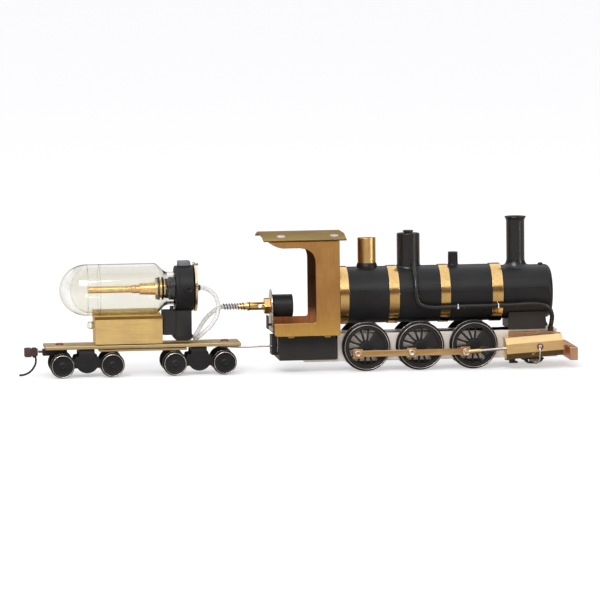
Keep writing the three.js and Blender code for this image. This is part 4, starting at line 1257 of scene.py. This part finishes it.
TRUCK_X = {"rear_truck": -83.6, "front_truck": -39.4}
HALF_WHEELBASE = 9.8
TRUCK_AXLE_Z = 4.85
wheel_half = [
    (0.75, 7.2),
    (4.7, 7.2),
    (4.85, 7.35),
    (4.8, 7.6),
    (4.32, 8.05),
    (4.3, 9.85),
    (4.15, 10.0),
    (3.75, 10.0),
    (3.5, 9.8),
    (1.5, 9.75),
    (1.2, 9.95),
    (0.7, 10.0),
    (0.55, 9.85),
    (0, 9.85),
]
wheelset = lathe("y", [(r, -y) for r, y in wheel_half[::-1]] + wheel_half, segments=72)
rims = joined(
    *(
        torus("y", radius, thick, sign * y, segments=72, sides=8)
        for sign in (-1, 1)
        for radius, thick, y in ((4.76, 0.11, 7.36), (4.2, 0.08, 9.95))
    )
)
plate = [
    *arc(HALF_WHEELBASE, TRUCK_AXLE_Z, 1.4, -90, 90, 12),
    (5.0, 6.6),
    (4.6, 7.9),
    (3.2, 8.1),
    (3.2, 9.5),
    (-3.2, 9.5),
    (-3.2, 8.1),
    (-4.6, 7.9),
    (-5.0, 6.6),
    *arc(-HALF_WHEELBASE, TRUCK_AXLE_Z, 1.4, 90, 270, 12),
    (-4.7, 3.6),
    *arc(0, 6.3, 4.7, 215, 325, 24),
    (4.7, 3.6),
]
plate_bore = [bar("y", 0.87, -8, 8, (x, 0, TRUCK_AXLE_Z), 32) for x in (-HALF_WHEELBASE, HALF_WHEELBASE)]
flat_plate = cut(prism("y", plate, -6.6, -5.4), *plate_bore)
truck_frame = joined(
    flat_plate,
    on_side(flat_plate, "far"),
    box((-2.6, -5.5, 8.9), (2.6, 5.5, 9.65)),
    box((-3, -6.5, 9.35), (3, 6.5, 10.8)),
)
for name, x in TRUCK_X.items():
    casting = moved(truck_frame, (x, 0, 0))
    piece(f"{name}_casting", casting, name, black_plastic, 0.12, (f"{name}_frame",))
    for end, offset in (("rear", -HALF_WHEELBASE), ("front", HALF_WHEELBASE)):
        node = f"{name}_wheelset_{end}"
        at = (x + offset, 0, TRUCK_AXLE_Z)
        piece(f"{node}_turned", moved(wheelset, at), node, cast_black, 0.06, (node,))
        piece(f"{node}_rim_lines", moved(rims, at), node, rim_steel, 0)

# ---------------------------------------------------------------- stage and light


def stage_object(name, shape, finish):
    made = object_of(name, shape)
    made.data.materials.append(finish)
    return made


def lit(name, base, glow, rough):
    tree = Tree(name)
    speckle = tree.rerange(tree.noise(40, 3), 0.3, 0.7, 0.995, 1.0)
    tree.link(tree.mix(1.0, (base, base, base), speckle, "MULTIPLY"), tree.shader.inputs["Base Color"])
    tree.shader.inputs["Roughness"].default_value = rough
    tree.shader.inputs["Emission Color"].default_value = (1, 1, 1, 1)
    tree.shader.inputs["Emission Strength"].default_value = glow
    return tree.material


FLOOR_R = 12000
floor = stage_object("floor", bar("z", FLOOR_R, -6, -0.05, ORIGIN, 64), lit("pale_floor", 0.6, 0.44, 0.9))
floor.visible_glossy = False
wall = hoop("z", FLOOR_R - 20, FLOOR_R, -5, 9000, ORIGIN, 64)
backdrop = stage_object("backdrop", wall, lit("pale_backdrop", 0.0, 1.0, 1.0))
backdrop.visible_glossy = False
backdrop.visible_diffuse = False
backdrop.visible_shadow = False


def light_world():
    """Soft studio surroundings: bright above, dimmer at the horizon and below the floor."""
    world = bpy.data.worlds.new("studio")
    bpy.context.scene.world = world
    world.use_nodes = True
    nodes, links = world.node_tree.nodes, world.node_tree.links
    place = nodes.new("ShaderNodeTexCoord")
    split = nodes.new("ShaderNodeSeparateXYZ")
    links.new(place.outputs["Generated"], split.inputs[0])
    ramp = nodes.new("ShaderNodeValToRGB")
    scale = nodes.new("ShaderNodeMapRange")
    scale.inputs["From Min"].default_value = -1
    links.new(split.outputs["Z"], scale.inputs["Value"])
    links.new(scale.outputs["Result"], ramp.inputs["Fac"])
    stops = [
        (0.05, (0.06, 0.05, 0.045)),
        (0.15, (0.34, 0.29, 0.25)),
        (0.30, (0.58, 0.52, 0.46)),
        (0.53, (0.58, 0.52, 0.46)),
        (0.55, (0.14, 0.10, 0.08)),
        (0.72, (0.16, 0.12, 0.10)),
        (0.75, (1.20, 1.21, 1.26)),
        (1.0, (1.0, 1.0, 1.05)),
    ]
    while len(ramp.color_ramp.elements) < len(stops):
        ramp.color_ramp.elements.new(0.5)
    for element, (place_at, tint) in zip(ramp.color_ramp.elements, stops):
        element.position = place_at
        element.color = (*tint, 1)
    background = nodes["Background"]
    links.new(ramp.outputs["Color"], background.inputs["Color"])


light_world()


def softbox(name, place, aim, width, height, watts):
    data = bpy.data.lights.new(name, "AREA")
    data.shape = "RECTANGLE"
    data.size = width
    data.size_y = height
    data.energy = watts
    lamp = bpy.data.objects.new(name, data)
    place, aim = Vector(place), Vector(aim)
    lamp.matrix_world = Matrix.Translation(place) @ (place - aim).to_track_quat("Z", "Y").to_matrix().to_4x4()
    bpy.context.scene.collection.objects.link(lamp)


softbox("key", (-0.35, -0.9, 0.75), (0, 0, 0.03), 0.7, 0.5, 9)
softbox("side_strip", (0.85, -0.55, 0.22), (0.04, 0, 0.04), 0.12, 0.5, 1.6)

view = bpy.context.scene.view_settings
view.view_transform = "Standard"
